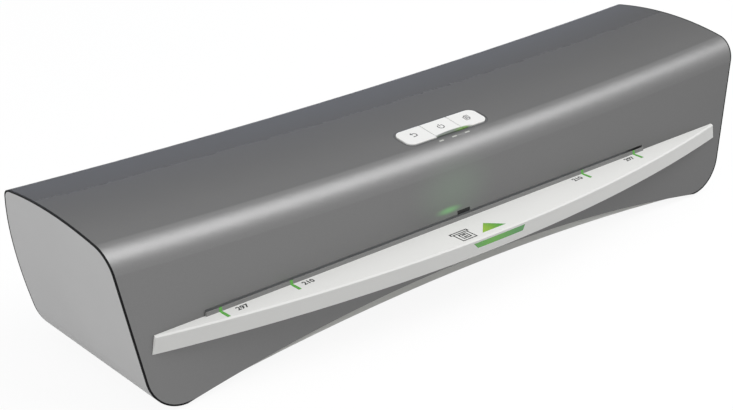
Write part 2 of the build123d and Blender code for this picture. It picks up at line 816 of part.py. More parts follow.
guide_length = right_face - left_face
guide_x = (left_face + right_face) / 2
cover_inside = front_at(slot_top_z + guide_thickness) + wall + guide_gap
bezel_inside = back_y - exit_depth - guide_gap
guide_runs = {
    "feed_guides": (cover_inside, hot_y - guide_reach, slot_height, guide_nip_height),
    "exit_guides": (pull_y + guide_reach, bezel_inside, guide_nip_height, slot_height),
}
for name, (start_y, end_y, start_height, end_height) in guide_runs.items():
    with BuildPart() as guides:
        with BuildSketch(Plane.YZ.offset(left_face)):
            for up in (-1, 1):
                with BuildLine():
                    Polyline(
                        (start_y, path_z + up * start_height / 2),
                        (end_y, path_z + up * end_height / 2),
                        (end_y, path_z + up * (end_height / 2 + guide_thickness)),
                        (start_y, path_z + up * (start_height / 2 + guide_thickness)),
                        close=True,
                    )
                make_face()
        extrude(amount=guide_length)
    save(guides, name)

with BuildPart() as exit_bezel:
    with BuildSketch(Plane.XZ.offset(-back_y)):
        with Locations((slot_centre, path_z)):
            Rectangle(slot_right - slot_left + 2 * exit_wall, slot_height + 2 * exit_wall)
            Rectangle(slot_right - slot_left, slot_height, mode=Mode.SUBTRACT)
    extrude(amount=exit_depth)
    add(outer_tube, mode=Mode.INTERSECT)
save(exit_bezel, "exit_bezel")

with BuildPart() as sheet_sensor:
    guide_top = slot_top_z + guide_thickness
    with BuildSketch(Plane.XY.offset(guide_top)):
        with Locations((notch_x, cover_inside + sensor_gap)):
            Rectangle(notch_width - sensor_gap, sensor_depth, align=(Align.CENTER, Align.MIN))
    extrude(amount=sensor_height)
    add(base_tube, mode=Mode.INTERSECT)
save(sheet_sensor, "sheet_sensor")

# ---- rollers, bushes, sliding blocks, springs and gears --------------------------------------
shaft_start = left_outside - shaft_overhang
shaft_end = gear_end + shaft_proud


def gear_outline(teeth, tip_share, root_share):
    """Spur gear outline with straight flanks; shares are tooth half-widths per tooth pitch."""
    pitch_radius = gear_module * teeth / 2
    tip, root = pitch_radius + gear_module, pitch_radius - tooth_root * gear_module
    step = 360 / teeth
    points = []
    for tooth in range(teeth):
        for radius, share in ((root, -root_share), (tip, -tip_share), (tip, tip_share), (root, root_share)):
            angle = radians((tooth + share) * step)
            points.append((radius * cos(angle), radius * sin(angle)))
    return points


def gear_face(x, y, z, teeth, turn, bore):
    """Face of a spur gear across X, its first tooth turned from +Y towards +Z."""
    across = Plane((x, y, z), x_dir=(0, cos(radians(turn)), sin(radians(turn))), z_dir=(1, 0, 0))
    with BuildSketch(across) as face:
        with BuildLine():
            Polyline(*gear_outline(teeth, *tooth_shares), close=True)
        make_face()
        Circle(bore, mode=Mode.SUBTRACT)
    return face.sketch


for name, roller_y in roller_places.items():
    for level, z in (("lower", lower_z), ("upper", upper_z)):
        axis_plane = Plane((0, roller_y, z), x_dir=(0, 1, 0), z_dir=(1, 0, 0))
        with BuildPart() as core:
            with BuildSketch(axis_plane.offset(shaft_start)):
                Circle(shaft_radius)
            extrude(amount=shaft_end - shaft_start)
            chamfer(core.edges(), shaft_chamfer)
            with BuildSketch(axis_plane.offset(sleeve_left)):
                Circle(core_radius)
            extrude(amount=sleeve_right - sleeve_left)
        save(core, f"{name}_{level}_core")

        with BuildPart() as sleeve:
            with BuildSketch(axis_plane.offset(sleeve_left)):
                Circle(sleeve_radius)
                Circle(core_radius, mode=Mode.SUBTRACT)
            extrude(amount=sleeve_right - sleeve_left)
        save(sleeve, f"{name}_{level}_sleeve")

        with BuildPart() as gear:
            turn = 90 + (180 / roller_teeth if level == "upper" else 0)
            face = gear_face(gear_start, roller_y, z, roller_teeth, turn, shaft_radius)
            extrude(face, amount=gear_width)
            with BuildSketch(axis_plane.offset(gear_start)):
                Circle(gear_hub_radius)
                Circle(shaft_radius, mode=Mode.SUBTRACT)
            extrude(amount=-gear_hub)
        save(gear, f"{name}_{level}_gear")

    with BuildPart() as bushes:
        for side, (middle_x, inward) in frame_sides.items():
            out_face = middle_x - inward * frame_thickness / 2
            with BuildSketch(Plane((out_face, roller_y, lower_z), x_dir=(0, 1, 0), z_dir=(inward, 0, 0))):
                Circle(bush_radius)
            extrude(amount=frame_thickness + bush_flange / 2)
            with BuildSketch(Plane((out_face, roller_y, lower_z), x_dir=(0, 1, 0), z_dir=(-inward, 0, 0))):
                Circle(bush_flange_radius)
            extrude(amount=bush_flange)
        with BuildSketch(Plane((-far, roller_y, lower_z), x_dir=(0, 1, 0), z_dir=(1, 0, 0))):
            Circle(shaft_radius + run_clearance)
        extrude(amount=2 * far, mode=Mode.SUBTRACT)
    save(bushes, f"{name}_bushes")

    with BuildPart() as blocks:
        for side, (middle_x, inward) in frame_sides.items():
            with Locations((middle_x, roller_y, upper_z)):
                Box(block_length, block_width, block_height)
            for face in (-1, 1):
                flange_x = middle_x + face * (frame_thickness / 2 + block_gap + block_flange / 2)
                with Locations((flange_x, roller_y, upper_z)):
                    Box(block_flange, block_flange_width, block_height)
            with BuildSketch(Plane.XY.offset(upper_z + block_height / 2)):
                with Locations((middle_x, roller_y)):
                    Circle(pin_radius)
            extrude(amount=pin_height)
        with BuildSketch(Plane((-far, roller_y, upper_z), x_dir=(0, 1, 0), z_dir=(1, 0, 0))):
            Circle(shaft_radius + run_clearance)
        extrude(amount=2 * far, mode=Mode.SUBTRACT)
    save(blocks, f"{name}_blocks")

    spring_seat_z = upper_z + block_height / 2
    spring_height = frame_top_z - spring_seat_z - spring_wire - 2 * spring_end_gap
    coil_radius = spring_radius - spring_wire / 2
    with BuildPart() as springs:
        for side, (middle_x, inward) in frame_sides.items():
            start = (middle_x, roller_y, spring_seat_z + spring_end_gap + spring_wire / 2)
            with BuildLine():
                coil = Helix(spring_height / spring_turns, spring_height, coil_radius, center=start)
            with BuildSketch(Plane(coil @ 0, z_dir=coil % 0)):
                Circle(spring_wire / 2)
            sweep(path=coil, is_frenet=True)
    save(springs, f"{name}_springs")

# ---- motor with its pinion and bracket -------------------------------------------------------
pinion_plane = Plane((0, pinion_y, pinion_z), x_dir=(0, 1, 0), z_dir=(1, 0, 0))
standoff_places = (
    (frame_start_y + standoff_inset, frame_foot_z + standoff_inset + frame_thickness),
    (frame_end_y - standoff_inset, frame_foot_z + standoff_inset + frame_thickness),
    (pinion_y, frame_top_z - standoff_inset),
)
with BuildPart() as pinion:
    turn = 180 / pinion_teeth + 360 / roller_teeth
    face = gear_face(gear_start, pinion_y, pinion_z, pinion_teeth, turn, motor_shaft_radius)
    extrude(face, amount=gear_width)
    with BuildSketch(pinion_plane.offset(gear_start)):
        Circle(motor_shaft_radius)
    extrude(amount=bracket_x + frame_thickness + motor_bore_depth - gear_start)
save(pinion, "motor_pinion")

with BuildPart() as motor_bracket:
    with BuildSketch(Plane.YZ.offset(bracket_x)) as plate:
        with BuildLine():
            Polyline(
                (frame_start_y, frame_foot_z + frame_thickness),
                (frame_end_y, frame_foot_z + frame_thickness),
                (frame_end_y, lower_z), (pinion_y + standoff_inset, frame_top_z),
                (pinion_y - standoff_inset, frame_top_z), (frame_start_y, lower_z),
                close=True,
            )
        make_face()
        fillet(plate.vertices(), bracket_corner)
        with Locations((pinion_y, pinion_z)):
            Circle(motor_boss_radius, mode=Mode.SUBTRACT)
        with Locations(*standoff_places):
            Circle(screw_radius, mode=Mode.SUBTRACT)
    extrude(amount=frame_thickness)
    with BuildSketch(Plane.YZ.offset(right_outside)):
        with Locations(*standoff_places):
            Circle(standoff_radius)
            Circle(screw_radius, mode=Mode.SUBTRACT)
    extrude(amount=bracket_x - right_outside)
save(motor_bracket, "motor_bracket")

with BuildPart() as bracket_screws:
    with BuildSketch(Plane.YZ.offset(bracket_x + frame_thickness)):
        with Locations(*standoff_places):
            Circle(screw_head_radius)
    extrude(amount=screw_head)
    with BuildSketch(Plane.YZ.offset(bracket_x + frame_thickness)):
        with Locations(*standoff_places):
            Circle(screw_radius)
    extrude(amount=-screw_length)
save(bracket_screws, "bracket_screws")

motor_face = bracket_x + frame_thickness
with BuildPart() as motor:
    with BuildSketch(pinion_plane.offset(motor_face)):
        Circle(motor_radius)
    extrude(amount=motor_length)
    fillet(motor.edges().filter_by(GeomType.CIRCLE).sort_by(Axis.X)[-1], motor_edge)
    with BuildSketch(pinion_plane.offset(motor_face)):
        Circle(motor_boss_radius)
    extrude(amount=-frame_thickness)
    with BuildSketch(pinion_plane.offset(bracket_x)):
        Circle(motor_shaft_radius + run_clearance)
    extrude(amount=frame_thickness + motor_bore_depth + motor_bore_gap, mode=Mode.SUBTRACT)
save(motor, "gear_motor")

with BuildPart() as frame_screws:
    with BuildSketch(Plane.XY.offset(frame_foot_z + frame_thickness)):
        with Locations(*boss_places):
            Circle(screw_head_radius)
    extrude(amount=screw_head)
    with BuildSketch(Plane.XY.offset(frame_foot_z + frame_thickness)):
        with Locations(*boss_places):
            Circle(screw_radius)
    extrude(amount=-screw_length)
save(frame_screws, "frame_screws")

# ---- heating shoes round the hot rollers -----------------------------------------------------
shoe_shapes = {"lower": (lower_z, -1, 0.0, lower_land_angle), "upper": (upper_z, 1, roller_lift, 90.0)}
heater_faces = []
for level, (z, up, lift, land_angle) in shoe_shapes.items():
    inside = sleeve_radius + shoe_gap + lift
    outside = inside + shoe_wall
    axis_plane = Plane((left_face, hot_y, z), x_dir=(0, 1, 0), z_dir=(1, 0, 0))
    with BuildPart() as shoe:
        with BuildSketch(axis_plane):
            Circle(outside)
            with PolarLocations(outside, 1, land_angle):
                Rectangle(2 * land_rise, shoe_land)
            Circle(inside, mode=Mode.SUBTRACT)
            # open towards the paper path
            with Locations((0, up * inside * sin(radians(shoe_angle)))):
                Rectangle(
                    4 * outside, 4 * outside,
                    align=(Align.CENTER, Align.MAX if up > 0 else Align.MIN), mode=Mode.SUBTRACT,
                )
        extrude(amount=guide_length)
        if up > 0:
            # room for the springs and their bridges at both ends
            for x in (left_face, right_face):
                with Locations((x, hot_y, z + outside)):
                    Box(2 * spring_room, 2 * bridge_overhang + bridge_room, cut, mode=Mode.SUBTRACT)
    save(shoe, f"heating_shoe_{level}")
    with BuildSketch(axis_plane.offset((guide_length - heater_length) / 2)) as face:
        with PolarLocations(outside + land_rise + heater_thickness / 2, 1, land_angle):
            Rectangle(heater_thickness, shoe_land - heater_margin)
    heater_faces.append(face.sketch)

with BuildPart() as heaters:
    for face in heater_faces:
        extrude(face, amount=heater_length)
save(heaters, "heaters")

thermostat_z = upper_z + sleeve_radius + shoe_gap + roller_lift + shoe_wall + land_rise + heater_thickness
with BuildPart() as thermostat:
    with BuildSketch(Plane.XY.offset(thermostat_z)):
        with Locations((guide_x, hot_y)):
            Circle(thermostat_radius)
    extrude(amount=thermostat_height)
    with BuildSketch(Plane.XY.offset(thermostat_z)):
        with Locations((guide_x, hot_y)):
            Rectangle(thermostat_ears, thermostat_radius)
    extrude(amount=thermostat_ear)
save(thermostat, "thermostat")

# ---- power board on the left frame and the cord gland ----------------------------------------
board_x = left_outside - board_standoff
post_pitch_y = power_board_length - 2 * post_inset
post_pitch_z = power_board_height - 2 * post_inset
with BuildPart() as power_board:
    with BuildSketch(Plane.YZ.offset(board_x)):
        with Locations((pinion_y, board_middle_z)):
            RectangleRounded(power_board_length, power_board_height, board_corner)
    extrude(amount=-board_thickness)
    with BuildSketch(Plane.YZ.offset(board_x)):
        with Locations((pinion_y, board_middle_z)):
            with GridLocations(post_pitch_y, post_pitch_z, 2, 2):
                Circle(post_radius)
    extrude(amount=board_standoff)
save(power_board, "power_board")

with BuildPart() as board_parts:
    for part_y, part_z, size_y, size_z, height in board_blocks:
        with Locations((board_x - board_thickness, pinion_y + part_y, board_middle_z + part_z)):
            Box(height, size_y, size_z, align=(Align.MAX, Align.CENTER, Align.CENTER))
save(board_parts, "board_parts")

with BuildPart() as gland:
    with BuildSketch(Plane.XZ.offset(-back_at(gland_z) - gland_proud)):
        with Locations((gland_x, gland_z)):
            Circle(gland_flange)
    extrude(amount=gland_flange)
    add(outer_tube, mode=Mode.SUBTRACT)
    with BuildSketch(Plane.XZ.offset(-back_at(gland_z) - gland_proud)):
        with Locations((gland_x, gland_z)):
            Circle(gland_neck)
    extrude(amount=gland_length)
    with BuildSketch(Plane.XZ.offset(-back_at(gland_z) - gland_proud)):
        with Locations((gland_x, gland_z)):
            Circle(gland_bore)
    extrude(amount=gland_length, mode=Mode.SUBTRACT)
save(gland, "cord_gland")
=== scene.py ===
"""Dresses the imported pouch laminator: its finishes, printed signs, lit parts, screws and studio."""

import json
import logging
import math
from dataclasses import dataclass, field
from enum import Enum
from functools import cache
from typing import Any, Iterable, Sequence

import bmesh
import bpy
from mathutils import Matrix, Vector
from mathutils.bvhtree import BVHTree


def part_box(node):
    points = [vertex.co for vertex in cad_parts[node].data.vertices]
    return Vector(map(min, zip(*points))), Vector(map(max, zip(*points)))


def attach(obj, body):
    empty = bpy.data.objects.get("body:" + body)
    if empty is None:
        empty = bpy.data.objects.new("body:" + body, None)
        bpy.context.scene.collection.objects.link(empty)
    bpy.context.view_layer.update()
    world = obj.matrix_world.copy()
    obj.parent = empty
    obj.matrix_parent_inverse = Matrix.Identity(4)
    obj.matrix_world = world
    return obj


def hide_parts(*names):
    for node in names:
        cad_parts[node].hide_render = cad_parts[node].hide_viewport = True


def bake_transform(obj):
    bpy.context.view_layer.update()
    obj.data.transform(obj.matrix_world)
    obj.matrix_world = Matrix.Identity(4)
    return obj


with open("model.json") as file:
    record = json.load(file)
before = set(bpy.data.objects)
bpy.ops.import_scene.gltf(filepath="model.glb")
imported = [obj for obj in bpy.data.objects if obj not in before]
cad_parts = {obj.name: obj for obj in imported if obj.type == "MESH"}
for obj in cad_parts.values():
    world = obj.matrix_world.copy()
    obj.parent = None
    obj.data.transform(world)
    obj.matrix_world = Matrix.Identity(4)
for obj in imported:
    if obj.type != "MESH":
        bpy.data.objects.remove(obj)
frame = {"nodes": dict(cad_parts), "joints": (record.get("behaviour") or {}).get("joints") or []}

LOG = logging.getLogger("laminator")
MM = 0.001
OFF = 10 * MM                   # how far off a surface a test line starts
UP, RIGHT = Vector((0, 0, 1)), Vector((1, 0, 0))
BLACK, WHITE = "#000000", "#FFFFFF"
IOR_ACETAL, IOR_ACRYLIC, IOR_INK, IOR_RUBBER = 1.48, 1.49, 1.5, 1.52
IOR_ABS, IOR_EPOXY, IOR_POLYIMIDE = 1.53, 1.55, 1.7

Pair = tuple[float, float]
Triple = tuple[float, float, float]
Sockets = dict[str | int, Any]
Link = bpy.types.Node | bpy.types.NodeSocket


# ---- helpers ---------------------------------------------------------------------------------


def linear(colour: str) -> tuple[float, float, float, float]:
    """Turns a colour as it is seen into the values that light is reckoned with.

    Args:
        colour: sRGB colour as "#RRGGBB".

    Returns:
        Linear red, green, blue and an alpha of 1.
    """
    parts = [int(colour[i : i + 2], 16) / 255 for i in (1, 3, 5)]
    light = [c / 12.92 if c <= 0.04045 else ((c + 0.055) / 1.055) ** 2.4 for c in parts]
    return (*light, 1.0)


def in_use(sockets: Iterable[bpy.types.NodeSocket], name: str = "") -> bpy.types.NodeSocket:
    """Returns the first socket that a node's settings leave in use, or the one with a name."""
    return next(s for s in sockets if s.enabled and name in ("", s.name))


def fill(tree: bpy.types.NodeTree, node: bpy.types.Node, sockets: Sockets) -> None:
    """Fills or links a node's inputs.

    Args:
        tree: tree that holds the node.
        node: the node.
        sockets: for an input's name or number, a value, a colour as "#RRGGBB", the output
            socket to link to it, or a node, which stands for its first output in use.
    """
    for key, value in sockets.items():
        target = node.inputs[key] if isinstance(key, int) else in_use(node.inputs, key)
        if isinstance(value, bpy.types.Node):
            value = in_use(value.outputs)
        if isinstance(value, bpy.types.NodeSocket):
            tree.links.new(value, target)
        else:
            target.default_value = linear(value) if isinstance(value, str) else value


def add_node(
    tree: bpy.types.NodeTree,
    kind: str,
    sockets: Sockets | None = None,
    **settings: Any,
) -> bpy.types.Node:
    """Adds one node with its settings, and fills or links its inputs.

    Args:
        tree: tree that gets the node.
        kind: Blender's name of the node type.
        sockets: what goes into its inputs, as fill() takes it.
        **settings: attributes of the node itself, such as operation.

    Returns:
        The new node.
    """
    node = tree.nodes.new(kind)
    for name, value in settings.items():
        setattr(node, name, value)
    fill(tree, node, sockets or {})
    return node


def new_object(name: str, data: bpy.types.ID) -> bpy.types.Object:
    """Makes an object and puts it into the scene.

    Args:
        name: name of the object.
        data: its mesh, text, lamp or camera.

    Returns:
        The object.
    """
    made = bpy.data.objects.new(name, data)
    bpy.context.scene.collection.objects.link(made)
    return made


def place_in_mesh(piece: bpy.types.Object, place: Matrix) -> bpy.types.Object:
    """Puts a piece's place into its mesh, so that its object stays at the origin.

    Args:
        piece: mesh object that is made round the origin.
        place: where the piece goes, in metres.

    Returns:
        The same piece.
    """
    piece.data.transform(place)
    piece.data.update()
    return piece


def settle(piece: bpy.types.Object, name: str) -> bpy.types.Object:
    """Turns an evaluated text or modified mesh into a plain mesh object.

    Args:
        piece: object whose modifiers or letters make the shape; it is removed.
        name: name of the finished piece.

    Returns:
        The plain mesh object.
    """
    graph = bpy.context.evaluated_depsgraph_get()
    mesh = bpy.data.meshes.new_from_object(piece.evaluated_get(graph), depsgraph=graph)
    bpy.data.objects.remove(piece)
    mesh.name = name
    return new_object(name, mesh)


def finish_piece(piece: bpy.types.Object, body: str) -> None:
    """Ties a finished piece to the body that carries it.

    Args:
        piece: finished mesh object.
        body: name of the carrying body.
    """
    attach(piece, body)
    LOG.info("piece %s rides on %s", piece.name, body)


@cache
def surface_of(node: str) -> BVHTree:
    """Returns a search tree over the surface of a node at rest."""
    mesh = frame["nodes"][node].data
    return BVHTree.FromPolygons([v.co for v in mesh.vertices], [p.vertices for p in mesh.polygons])


def touch(node: str, start: Vector, direction: Vector) -> Vector:
    """Finds where a line meets a node.

    Args:
        node: name of the node.
        start: where the line starts, in metres.
        direction: where the line goes.

    Returns:
        The point on the surface.
    """
    point = surface_of(node).ray_cast(start, direction)[0]
    if point is None:
        raise ValueError(f"nothing of {node} lies on that line")
    return point


def extrude_bar(
    name: str,
    profile: Sequence[Pair],
    start: float,
    end: float,
    finish: bpy.types.Material,
    edge_mm: float = 0.12,
    edge_steps: int = 2,
) -> bpy.types.Object:
    """Builds a bar of one cross-section that lies along X.

    Args:
        name: name of the piece.
        profile: (y, z) corners of the section, in metres, counter-clockwise seen from the +X end.
        start: x of its left end.
        end: x of its right end.
        finish: its material.
        edge_mm: how much its edges are rounded.
        edge_steps: how many strips round each edge.

    Returns:
        The bar as a plain mesh object.
    """
    count = len(profile)
    points = [(x, y, z) for x in (start, end) for y, z in profile]
    sides = [(i, (i + 1) % count, count + (i + 1) % count, count + i) for i in range(count)]
    ends = [tuple(reversed(range(count))), tuple(range(count, 2 * count))]
    mesh = bpy.data.meshes.new(name)
    mesh.from_pydata(points, [], sides + ends)
    mesh.materials.append(finish)
    bar = new_object(name + "_sharp", mesh)
    if edge_mm:
        rounded = bar.modifiers.new("edges", "BEVEL")
        rounded.width = edge_mm * MM
        rounded.segments = edge_steps
    return settle(bar, name)


# ---- finishes --------------------------------------------------------------------------------


class Surface:
    """A material under construction, with the patterns and effects that the finishes share."""

    def __init__(self, name: str) -> None:
        """Starts an empty material with a Principled shader.

        Args:
            name: the material's real name.
        """
        self.material = bpy.data.materials.new(name)
        self.material.use_nodes = True
        self.tree = self.material.node_tree
        self.tree.nodes.clear()
        self.shader = self.add("ShaderNodeBsdfPrincipled")
        self.add("ShaderNodeOutputMaterial", {"Surface": self.shader})
        self.place = self.add("ShaderNodeTexCoord").outputs["Object"]
        self.raised: bpy.types.Node | None = None

    def add(self, kind: str, sockets: Sockets | None = None, **settings: Any) -> bpy.types.Node:
        """Adds a node to this material's tree."""
        return add_node(self.tree, kind, sockets, **settings)

    def set(self, **values: Any) -> None:
        """Sets or links the shader's inputs, with _ for each space in their names."""
        fill(self.tree, self.shader, {key.replace("_", " "): v for key, v in values.items()})

    def clouds(
        self,
        size_mm: float,
        detail: float = 2.0,
        stretch: Triple = (1.0, 1.0, 1.0),
    ) -> bpy.types.Node:
        """Makes a cloud pattern.

        Args:
            size_mm: width of one cloud.
            detail: how many finer layers lie in it.
            stretch: frequency along X, Y and Z, 1 for plain.

        Returns:
            The pattern, from 0 to 1.
        """
        turned = self.add("ShaderNodeMapping", {"Vector": self.place, "Scale": stretch})
        sockets = {"Vector": turned, "Scale": 1 / (size_mm * MM), "Detail": detail}
        return self.add("ShaderNodeTexNoise", sockets)

    def spot(self, centre: Triple, reach: Triple) -> bpy.types.Node:
        """Makes a soft round spot.

        Args:
            centre: middle of the spot in millimetres.
            reach: how far it reaches along X, Y and Z in millimetres.

        Returns:
            1 in the middle, falling smoothly to 0 at its reach.
        """
        scale = [1 / (r * MM) for r in reach]
        offset = [-c / r for c, r in zip(centre, reach)]
        sockets = {"Vector": self.place, "Scale": scale, "Location": offset}
        local = self.add("ShaderNodeMapping", sockets)
        away = self.add("ShaderNodeVectorMath", {0: local}, operation="LENGTH").outputs["Value"]
        fade = {"Value": away, "To Min": 1.0, "To Max": 0.0}
        return self.add("ShaderNodeMapRange", fade, interpolation_type="SMOOTHSTEP")

    def tone(self, pattern: Link, first: Link | str, second: Link | str) -> bpy.types.Node:
        """Colours the surface by a pattern.

        Args:
            pattern: pattern from 0 to 1.
            first: colour where the pattern is 0.
            second: colour where it is 1.

        Returns:
            The mixed colour.
        """
        colours = {"Factor": pattern, "A": first, "B": second}
        mixed = self.add("ShaderNodeMix", colours, data_type="RGBA")
        self.set(Base_Color=mixed)
        return mixed

    def gloss(self, pattern: Link, middle: float, spread: Pair) -> None:
        """Varies the roughness by a pattern.

        Args:
            pattern: pattern from 0 to 1.
            middle: the usual roughness.
            spread: how far it falls and how far it rises.
        """
        ends = {"Value": pattern, "To Min": middle - spread[0], "To Max": middle + spread[1]}
        self.set(Roughness=self.add("ShaderNodeMapRange", ends))

    def relief(self, pattern: Link, depth_mm: float) -> None:
        """Raises the surface by a pattern, on top of any relief that it has.

        Args:
            pattern: pattern from 0 to 1.
            depth_mm: real height of the relief.
        """
        sockets: Sockets = {"Height": pattern, "Distance": depth_mm * MM, "Strength": 1.0}
        if self.raised is not None:
            sockets["Normal"] = self.raised
        self.raised = self.add("ShaderNodeBump", sockets)
        self.set(Normal=self.raised)


@dataclass(frozen=True)
class Glow:
    """A soft patch of light that a lamp throws on the surface round it."""

    centre: Triple
    reach: Triple
    colour: str
    strength: float


@dataclass(frozen=True)
class MetallicLacquer:
    """ABS with a satin metallic lacquer: a dark, even sheen, fine flakes and faint orange peel."""

    name: str = "abs_metallic_lacquer"
    colour: str = "#868686"
    flake_colour: str = "#8E8E8E"
    edge_tint: str = "#3C3D3F"      # flakes shade each other: little mirror at a grazing look
    flake_mm: float = 0.3           # real flakes are 0.03 mm; drawn coarser so that they show
    flake_share: float = 0.35       # the most that a flake shows of its own colour
    peel_mm: float = 2.6
    peel_detail: float = 1.0
    peel_depth_mm: float = 0.003
    metallic: float = 0.7
    roughness: float = 0.46
    haze_mm: float = 60.0
    haze: Pair = (0.03, 0.03)
    turned_share: float = 0.42      # painted shade: how bright the flakes are left where the surface turns from the view, which darkens the top
    glows: tuple[Glow, ...] = ()

    def make(self) -> bpy.types.Material:
        """Builds the lacquer; flakes vary its tone, painted shade darkens it where the surface turns
        from the view, and orange peel softens its reflections.

        Returns:
            The finished material.
        """
        s = Surface(self.name)
        grid = {"Vector": s.place, "Scale": 1 / (self.flake_mm * MM)}
        flakes = s.add("ShaderNodeTexVoronoi", grid).outputs["Color"]
        flake = s.add("ShaderNodeSeparateColor", {0: flakes})
        shown = {"Value": flake, "To Min": 0.0, "To Max": self.flake_share}
        paint = s.tone(s.add("ShaderNodeMapRange", shown), self.colour, self.flake_colour)
        # painted shade: the flake colour is darkened where the surface turns from the view, which
        # darkens the top
        turned = s.add("ShaderNodeHueSaturation", {"Color": paint, "Value": self.turned_share})
        s.tone(s.add("ShaderNodeLayerWeight").outputs["Facing"], paint, turned)
        s.set(Metallic=self.metallic, Specular_Tint=self.edge_tint)
        s.gloss(s.clouds(self.haze_mm), self.roughness, self.haze)
        s.relief(s.clouds(self.peel_mm, self.peel_detail), self.peel_depth_mm)
        s.set(Emission_Color=self.light(s), Emission_Strength=1.0)
        return s.material

    def light(self, s: Surface) -> Link | str:
        """Adds up the light of all glows.

        Args:
            s: the lacquer under construction.

        Returns:
            The colour of the light, black where there is none.
        """
        total: Link | str = BLACK
        for glow in self.glows:
            spot = s.spot(glow.centre, glow.reach)
            share = s.add("ShaderNodeMath", {0: spot, 1: glow.strength}, operation="MULTIPLY")
            layer = {"Factor": share, "A": BLACK, "B": glow.colour}
            both = {"Factor": 1.0, "A": total, "B": s.add("ShaderNodeMix", layer, data_type="RGBA")}
            total = s.add("ShaderNodeMix", both, data_type="RGBA", blend_type="ADD")
        return total


@dataclass(frozen=True)
class MouldedPlastic:
    """Injection-moulded plastic: a spark-grained or polished skin with a slight drift of tone."""

    name: str
    colour: str
    roughness: float
    grain_mm: float
    grain_depth_mm: float
    fade: float = 0.08              # how much darker the patches are
    specular: float = 0.5
    ior: float = IOR_ABS
    patch_mm: float = 45.0
    patch_detail: float = 3.0
    scuffs: Pair = (0.04, 0.05)

    def make(self) -> bpy.types.Material:
        """Builds the plastic; its grain breaks up the gloss, and scuffs roughen it in wide patches.

        Returns:
            The finished material.
        """
        s = Surface(self.name)
        patches = s.clouds(self.patch_mm, self.patch_detail)
        darker = {"Color": self.colour, "Value": 1 - self.fade}
        s.tone(patches, self.colour, s.add("ShaderNodeHueSaturation", darker))
        s.gloss(patches, self.roughness, self.scuffs)
        s.set(IOR=self.ior, Specular_IOR_Level=self.specular)
        s.relief(s.clouds(self.grain_mm), self.grain_depth_mm)
        return s.material


@dataclass(frozen=True)
class LitKeyPlastic:
    """Satin white ABS key with a darker grey-green band in part of its front edge, lit green from
    inside.
    """

    window_centre: Triple
    lamp_centre: Triple
    name: str = "abs_satin_white_lit"
    colour: str = "#DEDEDC"
    smoke: str = "#5E665E"
    light: str = "#5F8A34"
    glow: float = 0.08
    roughness: float = 0.38
    patch_mm: float = 30.0
    scuffs: Pair = (0.03, 0.04)
    grain_mm: float = 0.6
    grain_depth_mm: float = 0.004
    window_reach: Triple = (25.0, 3.4, 12.0)
    window_edge: Pair = (-1.4, 2.6)     # runs past 0 and 1, so that the soft spot gets a crisp edge
    lamp_reach: Triple = (8.0, 5.0, 10.0)

    def make(self) -> bpy.types.Material:
        """Builds the key; a band of its front edge is darker grey-green than the cap, and its lamp
        shows green.

        Returns:
            The finished material.
        """
        s = Surface(self.name)
        low, high = self.window_edge
        # window: the darker grey-green band along part of the front edge
        spot = s.spot(self.window_centre, self.window_reach)
        steep = s.add("ShaderNodeMapRange", {"Value": spot, "To Min": low, "To Max": high})
        window = s.add("ShaderNodeClamp", {0: steep})
        lit = s.spot(self.lamp_centre, self.lamp_reach)
        dark_band = s.tone(lit, self.smoke, self.light)
        s.tone(window, self.colour, dark_band)
        both = s.add("ShaderNodeMath", {0: window, 1: lit}, operation="MULTIPLY")
        shine = {"Factor": both, "A": BLACK, "B": self.light}
        s.set(Emission_Color=s.add("ShaderNodeMix", shine, data_type="RGBA"))
        s.set(Emission_Strength=self.glow, IOR=IOR_ABS)
        s.gloss(s.clouds(self.patch_mm), self.roughness, self.scuffs)
        s.relief(s.clouds(self.grain_mm), self.grain_depth_mm)
        return s.material


@dataclass(frozen=True)
class LitAcrylic:
    """Clear acrylic light guide with a lamp behind it: bright at the lamp, deeper at its ends."""

    name: str
    bright: str
    deep: str
    centre: Triple
    reach: Triple
    glow: float
    roughness: float = 0.22
    frost_mm: float = 1.2
    frost_detail: float = 3.0
    frost_depth_mm: float = 0.006
    frost_gloss: Pair = (0.05, 0.08)
    frost_light: Pair = (0.85, 1.1)     # how much of the lamp's light the frosting lets through
    coat: float = 0.4
    coat_roughness: float = 0.08

    def make(self) -> bpy.types.Material:
        """Builds the guide; frosting scatters the light, and its skin keeps a polished gloss.

        Returns:
            The finished material.
        """
        s = Surface(self.name)
        low, high = self.frost_light
        spot = s.spot(self.centre, self.reach)
        frost = s.clouds(self.frost_mm, self.frost_detail)
        passed = s.add("ShaderNodeMapRange", {"Value": frost, "To Min": low, "To Max": high})
        share = s.add("ShaderNodeMath", {0: spot, 1: passed}, operation="MULTIPLY")
        colour = s.tone(share, self.deep, self.bright)
        s.set(Emission_Color=colour, Emission_Strength=self.glow, IOR=IOR_ACRYLIC)
        s.set(Coat_Weight=self.coat, Coat_Roughness=self.coat_roughness)
        s.gloss(frost, self.roughness, self.frost_gloss)
        s.relief(frost, self.frost_depth_mm)
        return s.material


